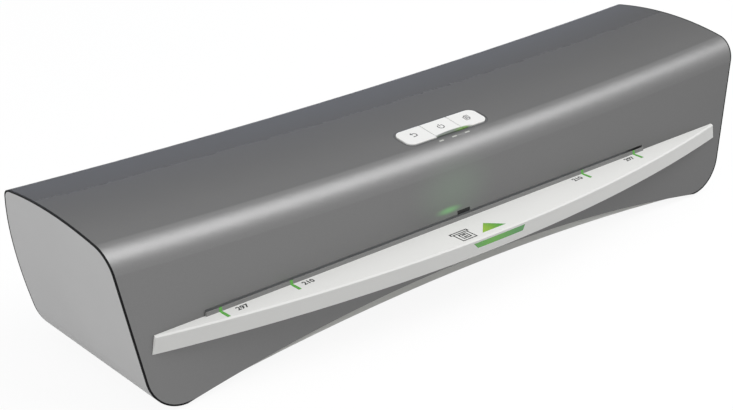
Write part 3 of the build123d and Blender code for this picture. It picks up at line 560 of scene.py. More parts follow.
@dataclass(frozen=True)
class MouldedRubber:
    """Soft rubber: dull, dark, with a fine dusty bloom."""

    name: str
    colour: str
    roughness: float = 0.78
    line_mm: float = 0.0            # pitch of grinding lines round the X axis, 0 for none
    line_detail: float = 1.0
    line_stretch: Triple = (1.0, 0.02, 0.02)
    specular: float = 0.5
    bloom_mm: float = 8.0
    bloom_detail: float = 4.0
    bloom_value: float = 1.35       # how much lighter the bloom is
    bloom_gloss: Pair = (0.08, 0.08)
    skin_mm: float = 0.5
    skin_depth_mm: float = 0.01

    def make(self) -> bpy.types.Material:
        """Builds the rubber; bloom lifts its tone in patches, and a ground sleeve shows fine lines.

        Returns:
            The finished material.
        """
        s = Surface(self.name)
        bloom = s.clouds(self.bloom_mm, self.bloom_detail)
        lighter = {"Color": self.colour, "Value": self.bloom_value}
        s.tone(bloom, self.colour, s.add("ShaderNodeHueSaturation", lighter))
        s.gloss(bloom, self.roughness, self.bloom_gloss)
        s.set(IOR=IOR_RUBBER, Specular_IOR_Level=self.specular)
        s.relief(s.clouds(self.skin_mm), self.skin_depth_mm)
        if self.line_mm:
            lines = s.clouds(self.line_mm, self.line_detail, self.line_stretch)
            s.relief(lines, self.skin_depth_mm)
        return s.material


@dataclass(frozen=True)
class WorkedMetal:
    """Bare or plated metal: drawn, rolled or extruded lines, and faint handling marks."""

    name: str
    colour: str
    roughness: float
    line_mm: float
    stretch: Triple = (1.0, 1.0, 1.0)
    line_detail: float = 3.0
    line_depth_mm: float = 0.006
    line_gloss: Pair = (0.07, 0.1)
    mark_mm: float = 14.0
    mark_detail: float = 4.0
    mark_value: float = 0.8         # how much darker the handling marks are
    pore_colour: str = ""           # colour of the pores of sintered metal, none if empty
    pore_mm: float = 0.5
    pore_edge: Pair = (0.8, -0.2)   # share of the pore colour at a pore's middle and between pores

    def make(self) -> bpy.types.Material:
        """Builds the metal; its lines vary gloss and relief, and marks or pores vary its tone.

        Returns:
            The finished material.
        """
        s = Surface(self.name)
        lines = s.clouds(self.line_mm, self.line_detail, self.stretch)
        marks = s.clouds(self.mark_mm, self.mark_detail)
        darker = {"Color": self.colour, "Value": self.mark_value}
        colour = s.tone(marks, self.colour, s.add("ShaderNodeHueSaturation", darker))
        if self.pore_colour:
            middle, between = self.pore_edge
            grid = {"Vector": s.place, "Scale": 1 / (self.pore_mm * MM)}
            cells = s.add("ShaderNodeTexVoronoi", grid)
            shown = {"Value": cells, "To Min": middle, "To Max": between}
            pores = s.add("ShaderNodeClamp", {0: s.add("ShaderNodeMapRange", shown)})
            s.tone(pores, colour, self.pore_colour)
        s.set(Metallic=1.0)
        s.gloss(lines, self.roughness, self.line_gloss)
        s.relief(lines, self.line_depth_mm)
        return s.material


@dataclass(frozen=True)
class PrintedBoard:
    """Glass-epoxy circuit board: green mask over copper tracks, a little raised and lighter."""

    name: str = "board_green_mask"
    ground: str = "#17502A"
    track: str = "#2C7A42"
    pitch_mm: float = 2.54
    bend: float = 0.35              # how far the tracks stray from a grid
    track_share: float = 0.12
    track_depth_mm: float = 0.03
    roughness: float = 0.3

    def make(self) -> bpy.types.Material:
        """Builds the board; tracks stand out in tone and relief under a glossy mask.

        Returns:
            The finished material.
        """
        s = Surface(self.name)
        sockets = {"Vector": s.place, "Scale": 1 / (self.pitch_mm * MM), "Randomness": self.bend}
        tracks = s.add("ShaderNodeTexVoronoi", sockets, feature="DISTANCE_TO_EDGE")
        copper = s.add("ShaderNodeMath", {0: tracks, 1: self.track_share}, operation="LESS_THAN")
        s.tone(copper, self.ground, self.track)
        s.set(Roughness=self.roughness, IOR=IOR_EPOXY)
        s.relief(copper, self.track_depth_mm)
        return s.material


@dataclass(frozen=True)
class PolyimideFilm:
    """Amber polyimide film over a wound heater: glossy, the winding faintly seen through it."""

    name: str = "heater_polyimide"
    colour: str = "#8A4A17"
    under: str = "#5A2F12"
    pitch_mm: float = 3.0
    winding_depth_mm: float = 0.02
    roughness: float = 0.25
    crease_mm: float = 6.0
    creases: Pair = (0.07, 0.07)

    def make(self) -> bpy.types.Material:
        """Builds the film; dark bands of the winding repeat along its length.

        Returns:
            The finished material.
        """
        s = Surface(self.name)
        sockets = {"Vector": s.place, "Scale": 1 / (self.pitch_mm * MM) / (2 * math.pi)}
        bands = s.add("ShaderNodeTexWave", sockets, bands_direction="X").outputs["Fac"]
        s.tone(bands, self.colour, self.under)
        s.set(IOR=IOR_POLYIMIDE)
        s.gloss(s.clouds(self.crease_mm), self.roughness, self.creases)
        s.relief(bands, self.winding_depth_mm)
        return s.material


@dataclass(frozen=True)
class ScreenInk:
    """Screen-printed ink: a thin matt film with slightly uneven cover."""

    name: str
    colour: str
    thin: str
    cover_mm: float = 1.5
    cover_detail: float = 3.0
    cover_depth_mm: float = 0.002
    roughness: float = 0.5
    cover_gloss: Pair = (0.0, 0.15)

    def make(self) -> bpy.types.Material:
        """Builds the ink; its cover thins in small patches.

        Returns:
            The finished material.
        """
        s = Surface(self.name)
        cover = s.clouds(self.cover_mm, self.cover_detail)
        s.tone(cover, self.colour, self.thin)
        s.set(IOR=IOR_INK)
        s.gloss(cover, self.roughness, self.cover_gloss)
        s.relief(cover, self.cover_depth_mm)
        return s.material


# ---- printed signs and small repeated parts, made by Geometry Nodes ---------------------------


class PieceTree:
    """Geometry Nodes tree with named sizes, which builds a piece on given points and lines."""

    def __init__(self, name: str, sizes: dict[str, str]) -> None:
        """Starts the tree with its inputs.

        Args:
            name: name of the tree.
            sizes: for each size's name, the type of its socket.
        """
        self.tree = bpy.data.node_groups.new(name, "GeometryNodeTree")
        face = self.tree.interface
        face.new_socket("Places", in_out="INPUT", socket_type="NodeSocketGeometry")
        self.inputs = {
            size: face.new_socket(size, in_out="INPUT", socket_type=kind).identifier
            for size, kind in sizes.items()
        }
        face.new_socket("Piece", in_out="OUTPUT", socket_type="NodeSocketGeometry")
        self.given = self.add("NodeGroupInput").outputs

    def add(self, kind: str, sockets: Sockets | None = None, **settings: Any) -> bpy.types.Node:
        """Adds a node to this tree."""
        return add_node(self.tree, kind, sockets, **settings)

    def end(self, shape: bpy.types.Node, finish: bpy.types.Material) -> None:
        """Ends the tree with a shape that is made real and dressed.

        Args:
            shape: node that gives the shape.
            finish: its material.
        """
        real = self.add("GeometryNodeRealizeInstances", {0: shape})
        dressed = self.add("GeometryNodeSetMaterial", {"Geometry": real, "Material": finish})
        self.add("NodeGroupOutput", {0: dressed})

    def grow(
        self,
        name: str,
        points: Sequence[Triple | Vector],
        edges: Sequence[tuple[int, int]],
        sizes: dict[str, float],
    ) -> bpy.types.Object:
        """Builds one piece.

        Args:
            name: name of the piece.
            points: its points, in metres.
            edges: lines between points, by their numbers.
            sizes: a value for each of the tree's sizes.

        Returns:
            The piece as a plain mesh object.
        """
        mesh = bpy.data.meshes.new(name)
        mesh.from_pydata(points, edges, [])
        piece = new_object(name + "_places", mesh)
        modifier = piece.modifiers.new("grown", "NODES")
        modifier.node_group = self.tree
        for size, value in sizes.items():
            modifier[self.inputs[size]] = value
        return settle(piece, name)


class StrokeTree(PieceTree):
    """Tree that turns flat lines into printed strokes of even width."""

    def __init__(self, ink: bpy.types.Material) -> None:
        """Builds the tree.

        Args:
            ink: material that the strokes get.
        """
        sizes = {"Stroke width": "NodeSocketFloat", "Ink height": "NodeSocketFloat"}
        super().__init__("printed_stroke", sizes)
        lines = self.add("GeometryNodeMeshToCurve", {0: self.given["Places"]})
        upright = self.add("GeometryNodeSetCurveNormal", {"Curve": lines}, mode="Z_UP")
        section = {"Width": self.given["Stroke width"], "Height": self.given["Ink height"]}
        profile = self.add("GeometryNodeCurvePrimitiveQuadrilateral", section)
        sweep = {"Curve": upright, "Profile Curve": profile, "Fill Caps": True}
        self.end(self.add("GeometryNodeCurveToMesh", sweep), ink)

    def print_lines(
        self,
        name: str,
        lines: Iterable[Sequence[Pair]],
        width_mm: float,
        height_mm: float,
    ) -> bpy.types.Object:
        """Prints lines in the XY plane.

        Args:
            name: name of the piece.
            lines: each line's points, in millimetres.
            width_mm: width of the strokes.
            height_mm: thickness of the ink.

        Returns:
            The strokes as a plain mesh object.
        """
        points: list[Triple] = []
        edges: list[tuple[int, int]] = []
        for line in lines:
            closed = line[0] == line[-1]
            corners = line[:-1] if closed else line
            first = len(points)
            points += [(x * MM, y * MM, 0.0) for x, y in corners]
            edges += [(first + i, first + i + 1) for i in range(len(corners) - 1)]
            if closed:
                edges.append((len(points) - 1, first))
        sizes = {"Stroke width": width_mm * MM, "Ink height": height_mm * MM}
        return self.grow(name, points, edges, sizes)


class ScrewTree(PieceTree):
    """Tree that sets pan-head screws with a cross recess on points."""

    SIDES = 32
    TAPER = 0.72            # radius of the head's outer face, of its full radius
    ARM, SLIM = 1.05, 0.24  # length and width of the recess, of the same
    DEEP = 0.9              # height of the bars that cut the recess, of the head's

    def __init__(self, steel: bpy.types.Material) -> None:
        """Builds the tree.

        Args:
            steel: material of the screws.
        """
        sizes = dict.fromkeys(("Head radius", "Head height"), "NodeSocketFloat")
        super().__init__("housing_screws", sizes | {"Seed": "NodeSocketInt"})
        turned = {"Max": (0.0, 0.0, math.pi), "Seed": self.given["Seed"]}
        turn = self.add("FunctionNodeRandomValue", turned, data_type="FLOAT_VECTOR")
        sockets = {"Points": self.given["Places"], "Instance": self.head(), "Rotation": turn}
        self.end(self.add("GeometryNodeInstanceOnPoints", sockets), steel)

    def head(self) -> bpy.types.Node:
        """Builds one screw head that looks down: a low cone less a cross-shaped recess.

        Returns:
            The node that gives the head.
        """
        radius, height = self.given["Head radius"], self.given["Head height"]
        parts = ((radius, self.TAPER), (radius, self.ARM), (radius, self.SLIM), (height, self.DEEP))
        taper, arm, slim, deep = (
            self.add("ShaderNodeMath", {0: size, 1: share}, operation="MULTIPLY")
            for size, share in parts
        )
        round_sizes = {"Vertices": self.SIDES, "Radius Top": radius, "Radius Bottom": taper}
        cone = self.add("GeometryNodeMeshCone", round_sizes | {"Depth": height})
        cut = self.add("GeometryNodeMeshBoolean", {"Mesh 1": cone}, operation="DIFFERENCE")
        for x, y in ((arm, slim), (slim, arm)):
            size = self.add("ShaderNodeCombineXYZ", {0: x, 1: y, 2: deep})
            fill(self.tree, cut, {"Mesh 2": self.add("GeometryNodeMeshCube", {"Size": size})})
        return cut


class Sign(Enum):
    """The printed signs on keys and tray."""

    REVERSE = "reverse"
    POWER = "power"
    THICKNESS = "thickness"
    POUCH = "pouch"


def arc(centre: Pair, radius: float, start: float, end: float, steps: int = 24) -> list[Pair]:
    """Returns points on an arc round centre, from start to end in degrees."""
    turns = [math.radians(start + (end - start) * i / steps) for i in range(steps + 1)]
    return [(centre[0] + radius * math.cos(t), centre[1] + radius * math.sin(t)) for t in turns]


def box_line(left: float, bottom: float, width: float, height: float) -> list[Pair]:
    """Returns the corners of a closed rectangle, its first corner again at the end."""
    right, top = left + width, bottom + height
    return [(left, bottom), (right, bottom), (right, top), (left, top), (left, bottom)]


@dataclass
class SignPrinter:
    """Prints the signs on keys and tray, and the plain sheet widths beside the marks."""

    strokes: StrokeTree
    ink: bpy.types.Material
    key_size: float = 4.6           # height of a sign on a key
    key_stroke: float = 0.55
    tray_stroke: float = 1.05
    ink_height: float = 0.03
    number_height: float = 4.6
    number_weight: float = 0.14     # how much the digits are thickened all round
    number_steps: int = 3           # how finely their curves are drawn

    def lines_of(self, sign: Sign) -> list[list[Pair]]:
        """Draws a sign.

        Args:
            sign: which sign.

        Returns:
            Its lines, in a square one unit high round the origin.
        """
        if sign is Sign.REVERSE:
            bend = arc((0.08, 0.0), 0.3, -90, 90)
            return [[(-0.34, -0.3), *bend, (-0.3, 0.3)], [(-0.12, 0.5), (-0.34, 0.3), (-0.12, 0.1)]]
        if sign is Sign.POWER:
            return [arc((0, -0.04), 0.4, 125, 415), [(0, 0.02), (0, 0.5)]]
        if sign is Sign.THICKNESS:
            back = [(-0.1, 0.28), (-0.1, 0.46), (0.42, 0.46), (0.42, -0.2), (0.24, -0.2)]
            rows = [[(-0.27, y), (0.03, y)] for y in (0.02, -0.2)]
            return [box_line(-0.42, -0.46, 0.6, 0.7), back, *rows]
        rows = [[(-0.12, y), (0.16, y)] for y in (-0.17, 0.03)]
        edge = [(-0.62, 0.3), (-0.62, 0.5), (0.62, 0.5), (0.62, 0.3)]
        return [box_line(-0.5, -0.52, 1.0, 0.84), box_line(-0.26, -0.32, 0.54, 0.48), edge, *rows]

    def sign(
        self,
        sign: Sign,
        name: str,
        size: float,
        stroke: float,
        place: Matrix,
        body: str,
    ) -> None:
        """Prints one sign.

        Args:
            sign: which sign.
            name: name of the piece.
            size: height of the sign in millimetres.
            stroke: width of its lines in millimetres.
            place: its middle, with the sign's X and Y along the surface.
            body: body that it rides on.
        """
        lines = [[(x * size, y * size) for x, y in line] for line in self.lines_of(sign)]
        piece = self.strokes.print_lines(name, lines, stroke, self.ink_height)
        finish_piece(place_in_mesh(piece, place), body)

    def number(self, text: str, name: str, place: Matrix, body: str) -> None:
        """Prints a plain number.

        Args:
            text: the number.
            name: name of the piece.
            place: its middle, with its X and Y along the surface.
            body: body that it rides on.
        """
        curve = bpy.data.curves.new(name, "FONT")
        curve.body = text
        curve.size = self.number_height * MM
        curve.offset = self.number_weight * MM
        curve.extrude = self.ink_height * MM / 2
        curve.align_x = "CENTER"
        curve.align_y = "CENTER"
        curve.resolution_u = self.number_steps
        curve.materials.append(self.ink)
        letters = new_object(name + "_text", curve)
        finish_piece(place_in_mesh(settle(letters, name), place), body)


# ---- sub-assemblies --------------------------------------------------------------------------


class SubAssembly:
    """Some pieces of the machine that are made and dressed together; sizes are in millimetres."""

    def dress(self, finish: bpy.types.Material, *nodes: str) -> None:
        """Gives nodes a finish.

        Args:
            finish: material for every slot of the nodes.
            *nodes: names of the nodes.
        """
        for name in nodes:
            for slot in frame["nodes"][name].material_slots:
                slot.material = finish
            LOG.info("node %s wears %s", name, finish.name)

    def build(self) -> None:
        """Dresses the nodes and makes the pieces that the frame doesn't hold."""


@dataclass
class Casing(SubAssembly):
    """Top cover with the lamp behind it, end caps, seals, base housing and feet."""

    lamp_reach: Triple = (11.5, 8.0, 2.7)
    lamp_strength: float = 0.6
    halo_offset: Triple = (4.0, 0.0, 11.0)      # from the lamp to the middle of its faint glow
    halo_reach: Triple = (36.0, 30.0, 24.0)
    halo_strength: float = 0.27
    screw_radius: float = 2.6
    screw_height: float = 1.1
    screw_proud: float = 0.2        # share of a head's height that stands out of the floor
    screw_rows: tuple[float, ...] = (-150.0, -52.0, 52.0, 150.0)
    screw_inset: float = 9.0        # from the front and back edge of the base's floor
    screw_seed: int = 7

    def build(self) -> None:
        """Dresses the shells and sets the screws that hold the base to the cover."""
        lamp_low, lamp_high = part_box("ready_lamp")
        lamp = (lamp_low + lamp_high) / 2 / MM
        halo = lamp + Vector(self.halo_offset)
        glows = (
            Glow(tuple(halo), self.halo_reach, "#466C48", self.halo_strength),
            Glow(tuple(lamp), self.lamp_reach, "#42A23C", self.lamp_strength),
        )
        self.dress(MetallicLacquer(glows=glows).make(), "top_cover", "ready_lamp")
        cap = MouldedPlastic(
            "abs_spark_grained_light_grey", "#C2C2C2",
            roughness=0.55, grain_mm=0.45, grain_depth_mm=0.012, specular=0.35,
        )
        self.dress(cap.make(), "end_cap_left", "end_cap_right")
        seal = MouldedRubber("epdm_seal_black", "#0C0D0E", roughness=0.8, specular=0.15)
        self.dress(seal.make(), "end_seal_left", "end_seal_right")
        base = MouldedPlastic(
            "abs_spark_grained_warm_grey", "#DCDCD8",
            roughness=0.55, grain_mm=0.5, grain_depth_mm=0.015,
        )
        self.dress(base.make(), "base_housing")
        rubber = MouldedRubber("nitrile_rubber_black", "#232323")
        self.dress(rubber.make(), "rubber_feet", "cord_gland")
        self.screws()

    def screws(self) -> None:
        """Sets two rows of pan-head screws on the underside of the base."""
        low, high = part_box("base_housing")
        inset = self.screw_inset * MM
        proud = UP * self.screw_proud * self.screw_height * MM
        places = [
            touch("base_housing", Vector((x * MM, y, low.z - OFF)), UP) - proud
            for x in self.screw_rows
            for y in (low.y + inset, high.y - inset)
        ]
        steel = WorkedMetal("steel_zinc_plated_screw", "#B9BCC0", roughness=0.3, line_mm=0.3)
        sizes = {
            "Head radius": self.screw_radius * MM,
            "Head height": self.screw_height * MM,
            "Seed": self.screw_seed,
        }
        screws = ScrewTree(steel.make()).grow("housing_screws", places, [], sizes)
        finish_piece(screws, "housing")


@dataclass
class Tray(SubAssembly):
    """Feed tray, its lower cover, a mid-grey sill at the slot that paints the shade inside it, the
    lit arrow and strip, and the prints.
    """

    printer: SignPrinter
    pouch_size: float = 9.5
    pouch_gap: float = 9.5          # pouch sign's middle to the arrow's left corner
    sheet_widths: tuple[int, ...] = (297, 210, 210, 297)
    number_gaps: tuple[float, ...] = (10.5, 8.0, 7.5, 7.5)  # each number's middle to its mark
    number_drop: float = 0.5        # numbers stand this much nearer the front than their marks
    lift: float = 0.02              # prints above the deck
    mark_gap: float = 10.0          # points of two marks lie further apart than this
    deck_probe: float = 60.0        # height over the tray from which its deck is felt
    arrow_lamp: float = 7.0         # from the arrow's middle to its lamp on the left
    arrow_reach: Triple = (15.0, 14.0, 14.0)
    strip_lamp: float = 5.0
    strip_reach: Triple = (22.0, 20.0, 20.0)
    marks_lamp: Triple = (0.0, 0.0, 40.0)
    marks_reach: Triple = (240.0, 80.0, 80.0)
    slot_span: Pair = (-173.5, 140.3)
    # sections: y, and z from the deck
    ledge_section: tuple[Pair, ...] = ((-43.8, -1.2), (-42.1, -1.2), (-42.1, 0.0), (-43.8, 0.0))
    sill_section: tuple[Pair, ...] = ((-42.42, -0.3), (-41.6, -0.3), (-41.6, 2.1), (-42.1, 2.1))
    line_section: tuple[Pair, ...] = (
        (-43.85, -0.1), (-41.8, -0.1), (-41.8, 2.14),
        (-42.14, 2.14), (-42.48, 0.03), (-43.85, 0.03),
    )
    window_section: tuple[Pair, ...] = ((-40.7, 2.6), (-40.2, 2.6), (-40.2, 5.2), (-40.7, 5.2))
    line_width: float = 1.7

    def build(self) -> None:
        """Dresses the tray, builds the sill of painted shade and prints the sign and numbers."""
        white = MouldedPlastic(
            "abs_satin_white", "#E0E0DE",
            roughness=0.6, grain_mm=0.35, grain_depth_mm=0.006, fade=0.03, specular=0.2,
        )
        self.dress(white.make(), "feed_tray")
        lower = MouldedPlastic(
            "abs_lower_white_grey", "#C9C9C5", roughness=0.5, grain_mm=0.4, grain_depth_mm=0.01
        )
        self.dress(lower.make(), "tray_floor")
        self.lit_parts()
        self.sill()
        self.prints()

    def lit_parts(self) -> None:
        """Dresses the arrow, the strip and the sheet marks, each with its own lamp place."""
        low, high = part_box("tray_arrow")
        lamp = tuple((low + high) / 2 / MM - RIGHT * self.arrow_lamp)
        reach = self.arrow_reach
        arrow = LitAcrylic("acrylic_arrow_lit", "#93B82E", "#4C9A3C", lamp, reach, glow=0.06)
        self.dress(arrow.make(), "tray_arrow")
        low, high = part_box("light_bar")
        lamp = tuple((low + high) / 2 / MM - RIGHT * self.strip_lamp)
        reach = self.strip_reach
        strip = LitAcrylic("acrylic_strip_lit", "#5FA83C", "#4B8F4C", lamp, reach, glow=0.08)
        self.dress(strip.make(), "light_bar")
        lamp, reach = self.marks_lamp, self.marks_reach
        marks = LitAcrylic("acrylic_marks_lit", "#5AA63C", "#54A03E", lamp, reach, glow=0.1)
        self.dress(marks.make(), "sheet_marks")

    def deck_level(self) -> float:
        """Returns the height of the tray's deck, in metres."""
        start = Vector((0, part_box("tray_arrow")[0].y, self.deck_probe * MM))
        return touch("feed_tray", start, -UP).z

    def section(self, corners: Sequence[Pair]) -> list[Pair]:
        """Turns a section that is measured from the deck into metres from the origin."""
        deck = self.deck_level()
        return [(y * MM, deck + z * MM) for y, z in corners]

    def sill(self) -> None:
        """Levels the deck up to the slot, sets a mid-grey sill there that paints the shade inside the
        slot, and runs the lines over it.
        """
        left, right = (x * MM for x in self.slot_span)
        white, lit = (
            frame["nodes"][node].material_slots[0].material for node in ("feed_tray", "sheet_marks")
        )
        section = self.section(self.ledge_section)
        ledge = extrude_bar("slot_ledge", section, left, right, white, edge_mm=0.0)
        finish_piece(ledge, "housing")
        # painted shade: a mid-grey sill stands where the deck runs into the shade of the slot
        grey = MouldedPlastic(
            "abs_mid_grey_painted_slot_shade", "#7F7F7E",
            roughness=0.5, grain_mm=0.35, grain_depth_mm=0.006, fade=0.03, specular=0.3,
        )
        section = self.section(self.sill_section)
        sill = extrude_bar("slot_shade_sill", section, left, right, grey.make())
        finish_piece(sill, "housing")
        black = MouldedPlastic(
            "pmma_infrared_black", "#121314",
            roughness=0.3, grain_mm=0.5, grain_depth_mm=0.003, specular=0.3,
        )
        low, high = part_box("sheet_sensor")
        section = self.section(self.window_section)
        window = extrude_bar("sensor_window", section, low.x, high.x, black.make())
        finish_piece(window, "housing")
        section = self.section(self.line_section)
        half = self.line_width * MM / 2
        for index, (x, _) in enumerate(self.mark_places(), 1):
            line = extrude_bar(f"sill_line_{index}", section, x - half, x + half, lit, edge_mm=0.0)
            finish_piece(line, "housing")

    def prints(self) -> None:
        """Prints the pouch sign beside the arrow and the widths beside the marks."""
        level = self.deck_level() + self.lift * MM
        low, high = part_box("tray_arrow")
        middle = Vector((low.x - self.pouch_gap * MM, (low.y + high.y) / 2, level))
        size, stroke = self.pouch_size, self.printer.tray_stroke
        place = Matrix.Translation(middle)
        self.printer.sign(Sign.POUCH, "pouch_sign", size, stroke, place, "housing")
        for (x, y), width, gap in zip(self.mark_places(), self.sheet_widths, self.number_gaps):
            side, end = (1, "left") if x < (low.x + high.x) / 2 else (-1, "right")
            middle = Vector((x + side * gap * MM, y - self.number_drop * MM, level))
            place = Matrix.Translation(middle)
            self.printer.number(str(width), f"width_{width}_{end}", place, "housing")

    def mark_places(self) -> list[Pair]:
        """Finds the sheet marks.

        Returns:
            The middle of each, from left to right, in metres.
        """
        marks = frame["nodes"]["sheet_marks"].data
        xs = sorted(v.co.x for v in marks.vertices)
        groups: list[list[float]] = [[xs[0]]]
        for x in xs[1:]:
            if x - groups[-1][-1] > self.mark_gap * MM:
                groups.append([])
            groups[-1].append(x)
        low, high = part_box("sheet_marks")
        return [((g[0] + g[-1]) / 2, (low.y + high.y) / 2) for g in groups]


@dataclass
class Keys(SubAssembly):
    """The three push keys with their signs, the well they slide in, and the indicator windows."""

    printer: SignPrinter
    signs: dict[str, Sign] = field(
        default_factory=lambda: {
            "button_reverse": Sign.REVERSE,
            "button_power": Sign.POWER,
            "button_thickness": Sign.THICKNESS,
        }
    )
    lift: float = 0.02              # signs above the caps
    window_inset: float = 11.5      # from the power key's left end to the darker band's middle
    window_drop: float = 1.5        # of the darker band's middle below the key's top
    lamp_step: float = 7.5          # from the darker band's middle to its lamp on the right

    def build(self) -> None:
        """Dresses the keys and prints their signs."""
        plain = MouldedPlastic(
            "abs_satin_white_key", "#DEDEDC",
            roughness=0.38, grain_mm=0.5, grain_depth_mm=0.004, fade=0.02,
        )
        self.dress(plain.make(), "button_reverse")
        power_low, power_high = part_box("button_power")
        x, y = power_low.x / MM + self.window_inset, power_low.y / MM
        z = power_high.z / MM - self.window_drop
        lit = LitKeyPlastic((x, y, z), (x + self.lamp_step, y, z))
        self.dress(lit.make(), "button_power", "button_thickness")
        # the well's dark grey is partly its own colour and partly painted shade: the shadow line
        # round the keys
        well = MouldedPlastic(
            "abs_spark_grained_dark_grey_and_painted_shade", "#4A4B4C",
            roughness=0.6, grain_mm=0.5, grain_depth_mm=0.01,
        )
        self.dress(well.make(), "button_well")
        window = MouldedPlastic(
            "acrylic_milky", "#B6B8B2",
            roughness=0.25, grain_mm=0.8, grain_depth_mm=0.003, ior=IOR_ACRYLIC,
        )
        self.dress(window.make(), "indicator_lights")
        for name, sign in self.signs.items():
            self.print_sign(name, sign)

    def print_sign(self, name: str, sign: Sign) -> None:
        """Prints a key's sign flat on its cap.

        Args:
            name: node and body of the key.
            sign: what to print.
        """
        press = next(j for j in frame["joints"] if j["child"] == name)
        down = Vector(press["axis"]).normalized()
        low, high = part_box(name)
        centre = (low + high) / 2
        point = touch(name, Vector((centre.x, centre.y, high.z)) - down * OFF, down)
        up = -down
        turn = Matrix((RIGHT, up.cross(RIGHT), up)).transposed().to_4x4()
        place = Matrix.Translation(point + up * self.lift * MM) @ turn
        size, stroke = self.printer.key_size, self.printer.key_stroke
        self.printer.sign(sign, f"{sign.value}_sign", size, stroke, place, name)


@dataclass
class Drive(SubAssembly):
    """Rollers, gears, bearings and springs."""

    rollers: tuple[str, ...] = ("hot_lower", "hot_upper", "pull_lower", "pull_upper")
    pairs: tuple[str, ...] = ("hot", "pull")
    weld: float = 1e-4              # points of a spring closer than this are one

    def build(self) -> None:
        """Dresses what turns and what it turns in."""
        silicone = MouldedRubber(
            "silicone_rubber_red", "#8A3B2E", roughness=0.6, line_mm=0.8
        ).make()
        shaft = WorkedMetal(
            "steel_turned", "#C4C6C8", roughness=0.25, line_mm=0.4, stretch=(1.0, 0.05, 0.05)
        ).make()
        acetal = MouldedPlastic(
            "acetal_natural", "#E6E3D8",
            roughness=0.42, grain_mm=0.8, grain_depth_mm=0.008, ior=IOR_ACETAL,
        ).make()
        for roller in self.rollers:
            self.dress(silicone, f"{roller}_sleeve")
            self.dress(shaft, f"{roller}_core")
            self.dress(acetal, f"{roller}_gear")
        self.dress(acetal, "hot_blocks", "pull_blocks", "motor_pinion")
        bronze = WorkedMetal(
            "bronze_sintered", "#B98A4A", roughness=0.42, line_mm=0.8, pore_colour="#6B4C22"
        )
        self.dress(bronze.make(), "hot_bushes", "pull_bushes")
        spring = WorkedMetal("spring_steel_drawn", "#A9ABAE", roughness=0.32, line_mm=0.3).make()
        for pair in self.pairs:
            self.coils(pair, spring)

    def coils(self, pair: str, steel: bpy.types.Material) -> None:
        """Copies a pair's springs into one mesh with close points welded, and hides the node.

        Args:
            pair: name of the roller pair.
            steel: material of the springs.
        """
        node = f"{pair}_springs"
        loose = frame["nodes"][node].data
        normals = [tuple(corner.vector) for corner in loose.corner_normals]
        mesh = bpy.data.meshes.new(f"{pair}_coils")
        shape = bmesh.new()
        shape.from_mesh(loose)
        bmesh.ops.remove_doubles(shape, verts=shape.verts, dist=self.weld * MM)
        shape.to_mesh(mesh)
        shape.free()
        # the merge turns some corners' normals, so all are set again unless it dropped a face
        if len(mesh.loops) == len(normals):
            mesh.normals_split_custom_set(normals)
        mesh.materials.append(steel)
        piece = new_object(mesh.name, mesh)
        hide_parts(node)
        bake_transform(piece)
        LOG.info("piece %s shortens as %s_carriage rises", piece.name, pair)


@dataclass
class Chassis(SubAssembly):
    """Side frames, bridges, guides, heating shoes, motor and its bracket, and screws."""

    def build(self) -> None:
        """Dresses the sheet metal and the parts that the pouch passes."""
        sheet = WorkedMetal(
            "steel_zinc_plated_sheet", "#B4B8BC",
            roughness=0.34, line_mm=1.2, stretch=(1.0, 0.1, 1.0),
        ).make()
        for end in ("left", "right"):
            self.dress(sheet, f"side_frame_{end}", f"spring_bridge_{end}")
        self.dress(sheet, "motor_bracket", "frame_screws", "bracket_screws", "gear_motor")
        shoe = WorkedMetal(
            "aluminium_extruded", "#C2C4C6", roughness=0.3, line_mm=0.7, stretch=(0.03, 1.0, 1.0)
        ).make()
        self.dress(shoe, "heating_shoe_lower", "heating_shoe_upper")
        moulding = {"roughness": 0.5, "grain_mm": 0.7, "grain_depth_mm": 0.012}
        black = MouldedPlastic("pet_glass_filled_black", "#222426", **moulding)
        self.dress(black.make(), "exit_guides", "exit_bezel", "sheet_sensor")
        grey = MouldedPlastic("pet_glass_filled_grey", "#A6A8AA", **moulding)
        self.dress(grey.make(), "feed_guides")


@dataclass
class Electronics(SubAssembly):
    """Boards and their parts, heaters and thermostat."""

    def build(self) -> None:
        """Dresses the boards and what sits on them."""
        self.dress(PrintedBoard().make(), "control_board", "power_board")
        self.dress(PolyimideFilm().make(), "heaters")
        housing = MouldedPlastic(
            "pbt_black", "#1F2022", roughness=0.45, grain_mm=0.6, grain_depth_mm=0.008
        )
        self.dress(housing.make(), "board_parts", "button_switches", "thermostat")


# ---- studio ----------------------------------------------------------------------------------


@dataclass(frozen=True)
class Softbox:
    """A rectangular studio light that is aimed at a point; sizes are in metres."""

    name: str
    place: Triple
    size: Pair
    watts: float
    colour: str = WHITE
    aim: Triple = (0.0, 0.0, 0.05)


